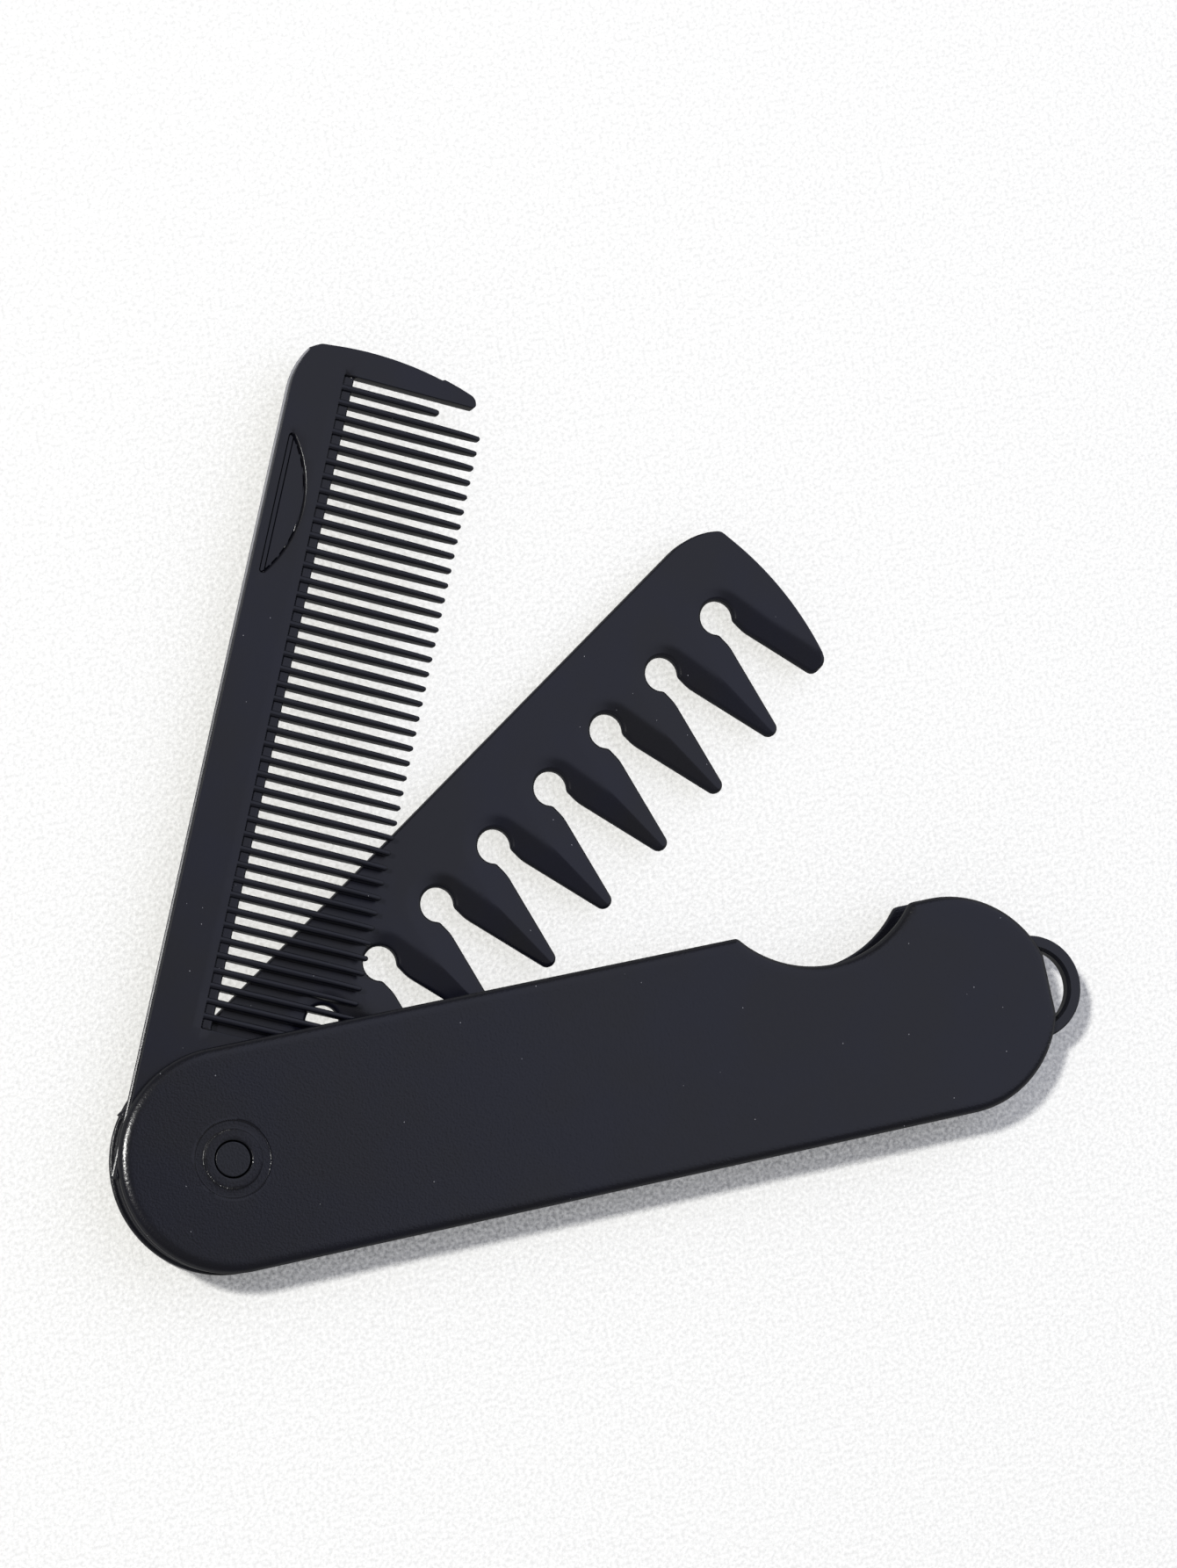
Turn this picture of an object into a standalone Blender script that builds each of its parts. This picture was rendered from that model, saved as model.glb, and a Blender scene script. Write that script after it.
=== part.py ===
"""Folding pocket comb: a two-plate case with a fine comb and a wide comb that swing out on one pin.

Sizes are in millimetres and are turned to metres where the meshes are made.
The origin is at the centre of the case's underside, +X runs to the hang ring and +Z is up.
Everything hangs from an empty on the pivot axis, and outlines are measured from that axis:
u runs along a case plate or a comb, and v runs across it, on a comb towards its spine.
"""

import math

import bmesh
import bpy

MM = 0.001

# Case outline
CASE_HALF_WIDTH = 15.15
CASE_LEFT_ARC_U = -0.2
CASE_RIGHT_ARC_U = 103.5
FLAT_CUT_U = 118.2
NOTCH_U = 88.0
NOTCH_V = 25.5
NOTCH_RADIUS = 16.5
NOTCH_CORNER_RADIUS = 1.0
NOTCH_CORNER_SPAN_DEG = 6.0
CASE_EDGE_RADIUS = 1.2

# Heights of the layers above the underside
PLATE_THICKNESS = 1.7
COMB_THICKNESS = 2.5
GAP = 0.3
WIDE_Z = PLATE_THICKNESS + GAP
FINE_Z = WIDE_Z + COMB_THICKNESS + GAP
FRONT_Z = FINE_Z + COMB_THICKNESS + GAP
CASE_HEIGHT = FRONT_Z + PLATE_THICKNESS
WALL_TOP_Z = FRONT_Z - GAP

# Walls inside the case
WALL_INNER_RADIUS = 13.95
WALL_LEFT_U = 6.2
WEB_INNER_U = 113.3
WEB_OUTER_U = 114.5
END_WALL_TOP_V = 9.0

# Hang ring
RING_U = 116.05
RING_V = 0.15
RING_OUTER_RADIUS = 7.28
RING_INNER_RADIUS = 5.4
RING_THICKNESS = 2.5
RING_CHAMFER = 0.45
RING_EDGE = 0.2
RING_Z = WALL_TOP_Z - 0.05 - RING_THICKNESS

# Pivot, with a boss inside a groove on the front and a sunk pin head on the back
PIVOT_X = -(FLAT_CUT_U + CASE_LEFT_ARC_U - CASE_HALF_WIDTH) / 2
PIN_RADIUS = 2.45
BORE_RADIUS = PIN_RADIUS + GAP
PIN_HEAD_RADIUS = 4.2
PIN_EDGE = 0.15
PIN_BOTTOM_Z = 0.2
PIN_TOP_Z = CASE_HEIGHT - GAP
BOSS_RADIUS = 3.9
GROOVE_RADIUS = 5.2
GROOVE_DEPTH = 0.45
HEAD_RECESS_RADIUS = PIN_HEAD_RADIUS + GAP
HEAD_RECESS_DEPTH = 0.95

# Hub, spine and far end of both combs
HUB_RADIUS = 14.95
TAB_U = -5.82
SHOULDER_U = 104.0
SHOULDER_RADIUS = 11.25
SHOULDER_END_DEG = 52.0
END_CORNER_U = 111.95
END_CORNER_V = 11.9
END_CORNER_RADIUS = 1.6
END_ARC_U = 66.5
END_ARC_V = 4.5
END_ARC_RADIUS = 46.0
END_ARC_TOP_V = 10.3
GUARD_TOE_INSET = 0.25
GUARD_INNER_RADIUS = 0.9
SPINE_EDGE_RADIUS = 0.45

# Wide comb
WIDE_OPEN_DEG = 33.4
WIDE_PITCH = 11.43
WIDE_FIRST_SLOT_U = 102.56
WIDE_SLOT_COUNT = 8
KEYHOLE_V = 3.88
KEYHOLE_RADIUS = 2.45
NECK_HALF_WIDTH = 1.52
NECK_RADIUS = 0.9
MOUTH_RADIUS = 6.5
MOUTH_FLARE = 0.253
MOUTH_FLARE_V = 0.29
WIDE_TIP_V = -13.3
WIDE_TIP_RADIUS = 0.95
WIDE_GUARD_TIP_V = -11.65
WIDE_GUARD_RADIUS = 1.35
SLOPE_WIDTH = 3.4
SLOPE_DEPTH = 0.6

# Fine comb
FINE_OPEN_DEG = 65.4
FINE_PITCH = 2.105
FINE_GAP_COUNT = 44
FIRST_GAP_U = 107.5
TOOTH_ROOT_WIDTH = 0.72
TOOTH_TIP_WIDTH = 0.5
TOOTH_TAPER_V = -4.0
TOOTH_THICKNESS = 2.4
TOOTH_ROOT_V = 6.2
TOOTH_BLUNT = 0.25
FINE_TIP_V = -12.6
SHORT_TIP_V = -6.35
STRIP_V = 7.7
STRIP_THICKNESS = 1.3
FINE_GUARD_TIP_V = -10.9
FINE_GUARD_RADIUS = 0.95

# Nail nicks, which lie under the thumb notch when a comb is folded
NICK_U = 88.45
NICK_V = 25.6
NICK_RADIUS = 16.35
NICK_CHORD_V = 13.5
NICK_CORNER_RADIUS = 0.75
NICK_CORNER_SPAN_DEG = 8.0
NICK_DEPTH = 0.4

# Smoothness of the round stretches, and how far cutters and joined pieces reach past a face
ARC_STEP_DEG = 6.0
HOLE_SIDES = 32
PAST = 1.0
OVERLAP = 0.3
FAR = 30.0
SLOPE_RISE = 0.2
SLOPE_CLEAR = 0.03


def arc(cu, cv, radius, start_deg, end_deg, step_deg=ARC_STEP_DEG):
    """Points on an arc, both ends included."""
    steps = max(2, round(abs(end_deg - start_deg) / step_deg))
    points = []
    for i in range(steps + 1):
        angle = math.radians(start_deg + (end_deg - start_deg) * i / steps)
        points.append((cu + radius * math.cos(angle), cv + radius * math.sin(angle)))
    return points


def rounded(corner, before, after, radius, steps=4):
    """Replace a corner by an arc that touches its two straight sides."""
    au, av = before[0] - corner[0], before[1] - corner[1]
    bu, bv = after[0] - corner[0], after[1] - corner[1]
    a_len, b_len = math.hypot(au, av), math.hypot(bu, bv)
    au, av, bu, bv = au / a_len, av / a_len, bu / b_len, bv / b_len
    half = math.acos(max(-1.0, min(1.0, au * bu + av * bv))) / 2
    reach = radius / math.tan(half)
    mu, mv = au + bu, av + bv
    m_len = math.hypot(mu, mv)
    cu = corner[0] + mu / m_len * radius / math.sin(half)
    cv = corner[1] + mv / m_len * radius / math.sin(half)
    start = math.atan2(corner[1] + av * reach - cv, corner[0] + au * reach - cu)
    end = math.atan2(corner[1] + bv * reach - cv, corner[0] + bu * reach - cu)
    sweep = (end - start + math.pi) % (2 * math.pi) - math.pi
    points = []
    for i in range(steps + 1):
        angle = start + sweep * i / steps
        points.append((cu + radius * math.cos(angle), cv + radius * math.sin(angle)))
    return points


def case_outline():
    """Outline of both case plates, anticlockwise."""
    half = CASE_HALF_WIDTH
    cut_half_deg = math.degrees(math.acos((FLAT_CUT_U - CASE_RIGHT_ARC_U) / half))
    points = arc(CASE_LEFT_ARC_U, 0, half, 90, 270)
    points += arc(CASE_RIGHT_ARC_U, 0, half, -90, -cut_half_deg)
    points += arc(CASE_RIGHT_ARC_U, 0, half, cut_half_deg, 90)
    reach = math.sqrt(NOTCH_RADIUS ** 2 - (NOTCH_V - half) ** 2)
    inset_deg = math.degrees(math.acos(reach / NOTCH_RADIUS)) + NOTCH_CORNER_SPAN_DEG
    notch = arc(NOTCH_U, NOTCH_V, NOTCH_RADIUS, -inset_deg, -180 + inset_deg)
    right = (NOTCH_U + reach, half)
    left = (NOTCH_U - reach, half)
    points += rounded(right, (CASE_RIGHT_ARC_U, half), notch[0], NOTCH_CORNER_RADIUS)
    points += notch
    points += rounded(left, notch[-1], (CASE_LEFT_ARC_U, half), NOTCH_CORNER_RADIUS)
    return points


def cavity_outline():
    """Space between the plates that the combs fold into, open at the top edge and the left end."""
    web_deg = math.degrees(math.acos((WEB_INNER_U - CASE_RIGHT_ARC_U) / WALL_INNER_RADIUS))
    far_u = FLAT_CUT_U + FAR
    points = [(WALL_LEFT_U, -WALL_INNER_RADIUS)]
    points += arc(CASE_RIGHT_ARC_U, 0, WALL_INNER_RADIUS, -90, -web_deg)
    points += [(WEB_INNER_U, END_WALL_TOP_V), (far_u, END_WALL_TOP_V), (far_u, FAR)]
    points += [(-FAR, FAR), (-FAR, -FAR), (WALL_LEFT_U, -FAR)]
    return points


def ring_hole_outline():
    """The ring's round hole up to the web that closes the case behind it."""
    reach = math.sqrt(RING_INNER_RADIUS ** 2 - (WEB_OUTER_U - RING_U) ** 2)
    low_deg = math.degrees(math.atan2(-reach, WEB_OUTER_U - RING_U))
    return arc(RING_U, RING_V, RING_INNER_RADIUS, low_deg, -low_deg)


def comb_back(tip_v, tip_radius, inner, inner_flare):
    """Outline from the stop tab over the spine and round the far end to the guard's inner flank.

    inner is a point on the guard's inner flank, and inner_flare is that flank's lean.
    """
    tab_v = math.sqrt(HUB_RADIUS ** 2 - TAB_U ** 2)
    shoulder = arc(SHOULDER_U, HUB_RADIUS - SHOULDER_RADIUS, SHOULDER_RADIUS, 90, SHOULDER_END_DEG)
    start_deg = math.degrees(math.asin((END_ARC_TOP_V - END_ARC_V) / END_ARC_RADIUS))
    end_deg = math.degrees(math.asin((tip_v + tip_radius - END_ARC_V) / END_ARC_RADIUS))
    end = arc(END_ARC_U, END_ARC_V, END_ARC_RADIUS, start_deg, end_deg, ARC_STEP_DEG / 2)
    toe = (end[-1][0] - GUARD_TOE_INSET, tip_v)
    heel = (inner[0] + inner_flare * (inner[1] - tip_v), tip_v)
    points = [(TAB_U, tab_v), (TAB_U, HUB_RADIUS)]
    points += shoulder[:-1]
    points += rounded((END_CORNER_U, END_CORNER_V), shoulder[-2], end[0], END_CORNER_RADIUS)
    points += end[:-1]
    points += rounded(toe, end[-2], heel, tip_radius)
    points += rounded(heel, toe, inner, GUARD_INNER_RADIUS)
    return points


def hub_arc(foot_v):
    """The hub's round edge, from the comb's lower side at foot_v round to the stop tab."""
    foot_deg = math.degrees(math.asin(foot_v / HUB_RADIUS))
    tab_deg = math.degrees(math.acos(TAB_U / HUB_RADIUS)) - 360
    return arc(0, 0, HUB_RADIUS, foot_deg, tab_deg)[:-1]


def flank_u(v):
    """Half-width of a slot's flared mouth at height v."""
    return NECK_HALF_WIDTH + MOUTH_FLARE * (MOUTH_FLARE_V - v)


def keyhole(slot_u):
    """One keyhole slot from its mouth's far flank, over the round hole, to the near flank."""
    flare_deg = math.degrees(math.atan(MOUTH_FLARE))
    mouth_v = MOUTH_FLARE_V + MOUTH_RADIUS * math.tan(math.radians(flare_deg / 2))
    mouth_u = slot_u + NECK_HALF_WIDTH + MOUTH_RADIUS
    reach = KEYHOLE_RADIUS + NECK_RADIUS
    hole_deg = -math.degrees(math.acos((NECK_HALF_WIDTH + NECK_RADIUS) / reach))
    neck_v = KEYHOLE_V + reach * math.sin(math.radians(hole_deg))
    neck_u = slot_u + NECK_HALF_WIDTH + NECK_RADIUS
    right = arc(mouth_u, mouth_v, MOUTH_RADIUS, 180 + flare_deg, 180)
    right += arc(neck_u, neck_v, NECK_RADIUS, 180, 180 + hole_deg, 20)
    hole = arc(slot_u, KEYHOLE_V, KEYHOLE_RADIUS, hole_deg, 180 - hole_deg, 15)
    left = [(2 * slot_u - u, v) for u, v in reversed(right)]
    return right[:-1] + hole + left[1:]


def wide_outline():
    """Outline of the wide comb: hub, spine, guard and keyhole slots with teeth between them."""
    slots = [WIDE_FIRST_SLOT_U - WIDE_PITCH * i for i in range(WIDE_SLOT_COUNT)]
    hub_foot = (math.sqrt(HUB_RADIUS ** 2 - WIDE_TIP_V ** 2), WIDE_TIP_V)
    points = comb_back(WIDE_GUARD_TIP_V, WIDE_GUARD_RADIUS, (slots[0] + flank_u(0), 0), MOUTH_FLARE)
    for slot_u in slots:
        points += keyhole(slot_u)
        near = (slot_u - flank_u(WIDE_TIP_V), WIDE_TIP_V)
        near_flank = (slot_u - flank_u(0), 0)
        if slot_u == slots[-1]:
            points += rounded(near, near_flank, hub_foot, WIDE_TIP_RADIUS)
        else:
            next_u = slot_u - WIDE_PITCH
            far = (next_u + flank_u(WIDE_TIP_V), WIDE_TIP_V)
            points += rounded(near, near_flank, far, WIDE_TIP_RADIUS)
            points += rounded(far, near, (next_u + flank_u(0), 0), WIDE_TIP_RADIUS)
    return points + hub_arc(WIDE_TIP_V)


def fine_body_outline():
    """Hub, spine and guard of the fine comb, down to the strip that carries the teeth."""
    gap_half = (FINE_PITCH - TOOTH_ROOT_WIDTH) / 2
    inner_u = FIRST_GAP_U + gap_half
    butt_u = FIRST_GAP_U - FINE_PITCH * (FINE_GAP_COUNT - 1) - gap_half
    points = comb_back(FINE_GUARD_TIP_V, FINE_GUARD_RADIUS, (inner_u, 0), 0)
    points += [(inner_u, STRIP_V), (butt_u, STRIP_V), (butt_u, FINE_TIP_V)]
    return points + hub_arc(FINE_TIP_V)


def fine_strip_outline():
    """The thinner strip between the spine and the gaps, let into the body all round."""
    right_u = FIRST_GAP_U + FINE_PITCH / 2
    left_u = FIRST_GAP_U - FINE_PITCH * (FINE_GAP_COUNT - 0.5)
    top_v = STRIP_V + OVERLAP
    return [(left_u, TOOTH_ROOT_V), (right_u, TOOTH_ROOT_V), (right_u, top_v), (left_u, top_v)]


def fine_tooth_outline(index):
    """One fine tooth with its taper and blunt tip; tooth 0, beside the guard, is short."""
    centre = FIRST_GAP_U - FINE_PITCH * (index + 0.5)
    tip_v = SHORT_TIP_V if index == 0 else FINE_TIP_V
    share = (TOOTH_TAPER_V - tip_v) / (TOOTH_TAPER_V - FINE_TIP_V)
    root = TOOTH_ROOT_WIDTH / 2
    tip = root + (TOOTH_TIP_WIDTH / 2 - root) * share
    half = [(root, STRIP_V + OVERLAP), (root, TOOTH_TAPER_V), (tip, tip_v + TOOTH_BLUNT), (tip / 2, tip_v)]
    return [(centre - u, v) for u, v in half] + [(centre + u, v) for u, v in reversed(half)]


def nick_outline():
    """D-shaped nail nick: a straight chord by the spine's edge, an arc below it and rounded ends."""
    half = math.sqrt(NICK_RADIUS ** 2 - (NICK_V - NICK_CHORD_V) ** 2)
    bow_deg = math.degrees(math.asin(half / NICK_RADIUS)) - NICK_CORNER_SPAN_DEG
    bow = arc(NICK_U, NICK_V, NICK_RADIUS, -90 - bow_deg, -90 + bow_deg)
    middle = (NICK_U, NICK_CHORD_V)
    points = rounded((NICK_U - half, NICK_CHORD_V), middle, bow[0], NICK_CORNER_RADIUS)
    points += bow
    points += rounded((NICK_U + half, NICK_CHORD_V), bow[-1], middle, NICK_CORNER_RADIUS)
    return points


def collection(name):
    made = bpy.data.collections.new(name)
    bpy.context.scene.collection.children.link(made)
    return made


def extruded(name, outline, low_z, high_z):
    """A closed mesh object from a flat outline, between two heights."""
    curve = bpy.data.curves.new(name + "_outline", "CURVE")
    curve.dimensions = "2D"
    curve.fill_mode = "BOTH"
    curve.extrude = (high_z - low_z) / 2 * MM
    spline = curve.splines.new("POLY")
    spline.points.add(len(outline) - 1)
    for point, (u, v) in zip(spline.points, outline):
        point.co = (u * MM, v * MM, 0, 1)
    spline.use_cyclic_u = True
    guide = bpy.data.objects.new(name + "_outline", curve)
    bpy.context.scene.collection.objects.link(guide)
    bpy.context.view_layer.update()
    evaluated = guide.evaluated_get(bpy.context.evaluated_depsgraph_get())
    mesh = bpy.data.meshes.new_from_object(evaluated)
    mesh.name = name
    bpy.data.objects.remove(guide)
    bm = bmesh.new()
    bm.from_mesh(mesh)
    bmesh.ops.remove_doubles(bm, verts=bm.verts, dist=1e-6)
    bmesh.ops.dissolve_limit(bm, angle_limit=math.radians(0.5), verts=bm.verts, edges=bm.edges)
    bmesh.ops.translate(bm, verts=bm.verts, vec=(0, 0, (low_z + high_z) / 2 * MM))
    bmesh.ops.recalc_face_normals(bm, faces=bm.faces)
    bm.to_mesh(mesh)
    bm.free()
    return bpy.data.objects.new(name, mesh)


def turned(name, profile):
    """A turned solid from a profile of (radius, height) that runs down its outer side.

    A profile that doesn't start on the axis is closed to a ring.
    """
    mesh = bpy.data.meshes.new(name)
    edges = [(i, i + 1) for i in range(len(profile) - 1)]
    if profile[0][0] > 0:
        edges.append((len(profile) - 1, 0))
    mesh.from_pydata([(radius * MM, 0, height * MM) for radius, height in profile], edges, [])
    made = bpy.data.objects.new(name, mesh)
    screw = made.modifiers.new("Turned", "SCREW")
    screw.steps = HOLE_SIDES
    screw.render_steps = HOLE_SIDES
    screw.use_merge_vertices = True
    screw.merge_threshold = 1e-6
    return made


def cylinder(name, radius, low_z, high_z):
    return turned(name, [(0, high_z), (radius, high_z), (radius, low_z), (0, low_z)])


def block(name, low, high):
    """A box between two corners."""
    bm = bmesh.new()
    cube = bmesh.ops.create_cube(bm, size=MM)["verts"]
    bmesh.ops.scale(bm, verts=cube, vec=[b - a for a, b in zip(low, high)])
    bmesh.ops.translate(bm, verts=cube, vec=[(a + b) / 2 * MM for a, b in zip(low, high)])
    return object_from(bm, name)


def object_from(bm, name):
    mesh = bpy.data.meshes.new(name)
    bm.to_mesh(mesh)
    bm.free()
    return bpy.data.objects.new(name, mesh)


def soften(target, radius, segments, wanted):
    """Round the edges that wanted() picks, with a weighted Bevel modifier."""
    bm = bmesh.new()
    bm.from_mesh(target.data)
    weights = bm.edges.layers.float.new("bevel_weight_edge")
    for edge in bm.edges:
        a, b = edge.verts[0].co / MM, edge.verts[1].co / MM
        flat = abs(a.z - b.z) < 0.01
        if flat and edge.calc_face_angle(0) > 0.5 and wanted(a) and wanted(b):
            edge[weights] = 1.0
    bm.to_mesh(target.data)
    bm.free()
    bevel = target.modifiers.new("Rounded edge", "BEVEL")
    bevel.width = radius * MM
    bevel.segments = segments
    bevel.limit_method = "WEIGHT"
    bevel.use_clamp_overlap = False


def combine(target, other, operation, cutters):
    """Boolean with another object, which stays as a hidden guide and follows its target."""
    cutters.objects.link(other)
    other.parent = target
    other.hide_render = True
    other.display_type = "WIRE"
    boolean = target.modifiers.new(other.name, "BOOLEAN")
    boolean.operation = operation
    boolean.solver = "EXACT"
    boolean.object = other
    return boolean


def mouth_cutter(name, slot_u):
    """Slopes on both faces along a slot's flared mouth, as one solid lofted through four levels."""
    half = COMB_THICKNESS / 2
    level = half - SLOPE_DEPTH
    spread = SLOPE_WIDTH / math.cos(math.atan(MOUTH_FLARE)) * (1 + SLOPE_RISE / SLOPE_DEPTH)
    levels = ((-half - SLOPE_RISE, spread), (-level, -SLOPE_CLEAR), (level, -SLOPE_CLEAR),
              (half + SLOPE_RISE, spread))
    low_v = WIDE_TIP_V - SLOPE_WIDTH
    bm = bmesh.new()
    rings = []
    for height, widen in levels:
        corners = []
        for side, v in ((-1, KEYHOLE_V), (-1, low_v), (1, low_v), (1, KEYHOLE_V)):
            corners.append(((slot_u + side * (flank_u(v) + widen)) * MM, v * MM, height * MM))
        rings.append([bm.verts.new(corner) for corner in corners])
    bm.faces.new(rings[0])
    bm.faces.new(rings[-1])
    for low, high in zip(rings, rings[1:]):
        for i in range(4):
            j = (i + 1) % 4
            bm.faces.new((low[i], low[j], high[j], high[i]))
    bmesh.ops.recalc_face_normals(bm, faces=bm.faces)
    return object_from(bm, name)


def hole_cutter(name, slot_u):
    """Slopes on both faces round a keyhole."""
    high = COMB_THICKNESS / 2 + SLOPE_RISE
    level = COMB_THICKNESS / 2 - SLOPE_DEPTH
    wide = KEYHOLE_RADIUS + SLOPE_WIDTH * (1 + SLOPE_RISE / SLOPE_DEPTH)
    narrow = KEYHOLE_RADIUS - SLOPE_CLEAR
    made = turned(name, [(0, high), (wide, high), (narrow, level), (narrow, -level), (wide, -high), (0, -high)])
    made.location = (slot_u * MM, KEYHOLE_V * MM, 0)
    return made


def hang_ring(cutters):
    """The exposed part of the hang ring, cut off inside the web that it grows from."""
    inner, outer, low = RING_INNER_RADIUS, RING_OUTER_RADIUS, RING_Z
    high = RING_Z + RING_THICKNESS
    made = turned("hang_ring", [
        (inner, high - RING_CHAMFER), (inner + RING_CHAMFER, high), (outer - RING_EDGE, high),
        (outer, high - RING_EDGE), (outer, low + RING_EDGE), (outer - RING_EDGE, low),
        (inner + RING_CHAMFER, low), (inner, low + RING_CHAMFER)])
    made.location = (RING_U * MM, RING_V * MM, 0)
    cut_u = (WEB_INNER_U + WEB_OUTER_U) / 2 - RING_U
    hidden = block("hidden_ring_part", (-FAR, -FAR, 0), (cut_u, FAR, CASE_HEIGHT))
    combine(made, hidden, "DIFFERENCE", cutters)
    return made


def front_shell(cutters):
    plate = extruded("front_shell", case_outline(), FRONT_Z, CASE_HEIGHT)
    soften(plate, CASE_EDGE_RADIUS, 3, lambda point: point.z > (FRONT_Z + CASE_HEIGHT) / 2)
    floor_z = CASE_HEIGHT - GROOVE_DEPTH
    groove = turned("front_groove", [
        (BOSS_RADIUS, CASE_HEIGHT + PAST), (GROOVE_RADIUS, CASE_HEIGHT + PAST),
        (GROOVE_RADIUS, floor_z), (BOSS_RADIUS, floor_z)])
    combine(plate, groove, "DIFFERENCE", cutters)
    bore = cylinder("front_bore", BORE_RADIUS, FRONT_Z - PAST, CASE_HEIGHT + PAST)
    combine(plate, bore, "DIFFERENCE", cutters)
    return plate


def back_shell(cutters):
    tray = extruded("back_shell", case_outline(), 0, WALL_TOP_Z)
    soften(tray, CASE_EDGE_RADIUS, 3, lambda point: point.z < PLATE_THICKNESS / 2)
    cavity = extruded("cavity", cavity_outline(), PLATE_THICKNESS, CASE_HEIGHT)
    combine(tray, cavity, "DIFFERENCE", cutters)
    hole = extruded("ring_hole", ring_hole_outline(), PLATE_THICKNESS, CASE_HEIGHT)
    combine(tray, hole, "DIFFERENCE", cutters)
    combine(tray, hang_ring(cutters), "UNION", cutters)
    recess = turned("back_recess", [
        (0, PLATE_THICKNESS + PAST), (BORE_RADIUS, PLATE_THICKNESS + PAST), (BORE_RADIUS, HEAD_RECESS_DEPTH),
        (HEAD_RECESS_RADIUS, HEAD_RECESS_DEPTH), (HEAD_RECESS_RADIUS, -PAST), (0, -PAST)])
    combine(tray, recess, "DIFFERENCE", cutters)
    return tray


def pivot_pin():
    """Pin with a low head under the back plate and a plain round end in the front boss."""
    head_top = HEAD_RECESS_DEPTH - GAP
    return turned("pivot_pin", [
        (0, PIN_TOP_Z), (PIN_RADIUS - PIN_EDGE, PIN_TOP_Z), (PIN_RADIUS, PIN_TOP_Z - PIN_EDGE),
        (PIN_RADIUS, head_top), (PIN_HEAD_RADIUS, head_top), (PIN_HEAD_RADIUS, PIN_BOTTOM_Z + PIN_EDGE),
        (PIN_HEAD_RADIUS - PIN_EDGE, PIN_BOTTOM_Z), (0, PIN_BOTTOM_Z)])


def on_back(point):
    """True for points on the spine, the far end and the hub's left side, whose edges are rounded."""
    if point.x < -TAB_U or point.y > END_ARC_TOP_V:
        return True
    from_end_arc = math.hypot(point.x - END_ARC_U, point.y - END_ARC_V)
    return point.x > WIDE_FIRST_SLOT_U + flank_u(0) and from_end_arc > END_ARC_RADIUS - OVERLAP


def cut_comb(blade, face_z, middle_z, open_deg, cutters):
    """Cut the nail nick into the face at face_z and the bore, and set the comb at its opening."""
    outward = math.copysign(PAST, face_z)
    low, high = sorted((face_z - math.copysign(NICK_DEPTH, face_z), face_z + outward))
    combine(blade, extruded(blade.name + "_nick", nick_outline(), low, high), "DIFFERENCE", cutters)
    bore = cylinder(blade.name + "_bore", BORE_RADIUS, -COMB_THICKNESS, COMB_THICKNESS)
    combine(blade, bore, "DIFFERENCE", cutters)
    blade.location = (0, 0, middle_z * MM)
    blade.rotation_euler = (0, 0, math.radians(open_deg))
    return blade


def wide_comb(cutters):
    half = COMB_THICKNESS / 2
    blade = extruded("wide_comb", wide_outline(), -half, half)
    soften(blade, SPINE_EDGE_RADIUS, 2, on_back)
    for i in range(WIDE_SLOT_COUNT):
        slot_u = WIDE_FIRST_SLOT_U - WIDE_PITCH * i
        combine(blade, hole_cutter(f"keyhole_slope_{i}", slot_u), "DIFFERENCE", cutters)
        combine(blade, mouth_cutter(f"mouth_slope_{i}", slot_u), "DIFFERENCE", cutters)
    return cut_comb(blade, -half, WIDE_Z + half, WIDE_OPEN_DEG, cutters)


def fine_comb(cutters):
    half = COMB_THICKNESS / 2
    blade = extruded("fine_comb", fine_body_outline(), -half, half)
    soften(blade, SPINE_EDGE_RADIUS, 2, on_back)
    rake = extruded("tooth_strip", fine_strip_outline(), -STRIP_THICKNESS / 2, STRIP_THICKNESS / 2)
    for i in range(FINE_GAP_COUNT - 1):
        tooth = extruded(f"tooth_{i}", fine_tooth_outline(i), -TOOTH_THICKNESS / 2, TOOTH_THICKNESS / 2)
        join_into(rake, tooth)
    combine(blade, rake, "UNION", cutters).use_self = True
    return cut_comb(blade, half, FINE_Z + half, FINE_OPEN_DEG, cutters)


def join_into(target, other):
    """Add another object's faces to target's mesh and remove the other."""
    bm = bmesh.new()
    bm.from_mesh(target.data)
    bm.from_mesh(other.data)
    bm.to_mesh(target.data)
    bm.free()
    mesh = other.data
    bpy.data.objects.remove(other)
    bpy.data.meshes.remove(mesh)


def plastic(name, colour, roughness):
    made = bpy.data.materials.new(name)
    made.use_nodes = True
    shader = made.node_tree.nodes["Principled BSDF"]
    shader.inputs["Base Color"].default_value = (*colour, 1.0)
    shader.inputs["Roughness"].default_value = roughness
    shader.inputs["Metallic"].default_value = 0.0
    return made


def main():
    for old in list(bpy.data.objects):
        bpy.data.objects.remove(old)
    comb = collection("folding_comb")
    cutters = collection("cutters")
    pivot = bpy.data.objects.new("pivot_axis", None)
    pivot.location = (PIVOT_X * MM, 0, 0)
    comb.objects.link(pivot)
    case_black = plastic("black_case_plastic", (0.022, 0.023, 0.030), 0.5)
    comb_black = plastic("black_comb_plastic", (0.014, 0.014, 0.018), 0.48)
    for made, finish in ((front_shell(cutters), case_black), (back_shell(cutters), case_black),
                         (pivot_pin(), case_black), (wide_comb(cutters), comb_black),
                         (fine_comb(cutters), comb_black)):
        comb.objects.link(made)
        made.parent = pivot
        made.data.materials.append(finish)
        made.data.shade_smooth()
        made.data.set_sharp_from_angle(angle=math.radians(30))


main()
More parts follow.
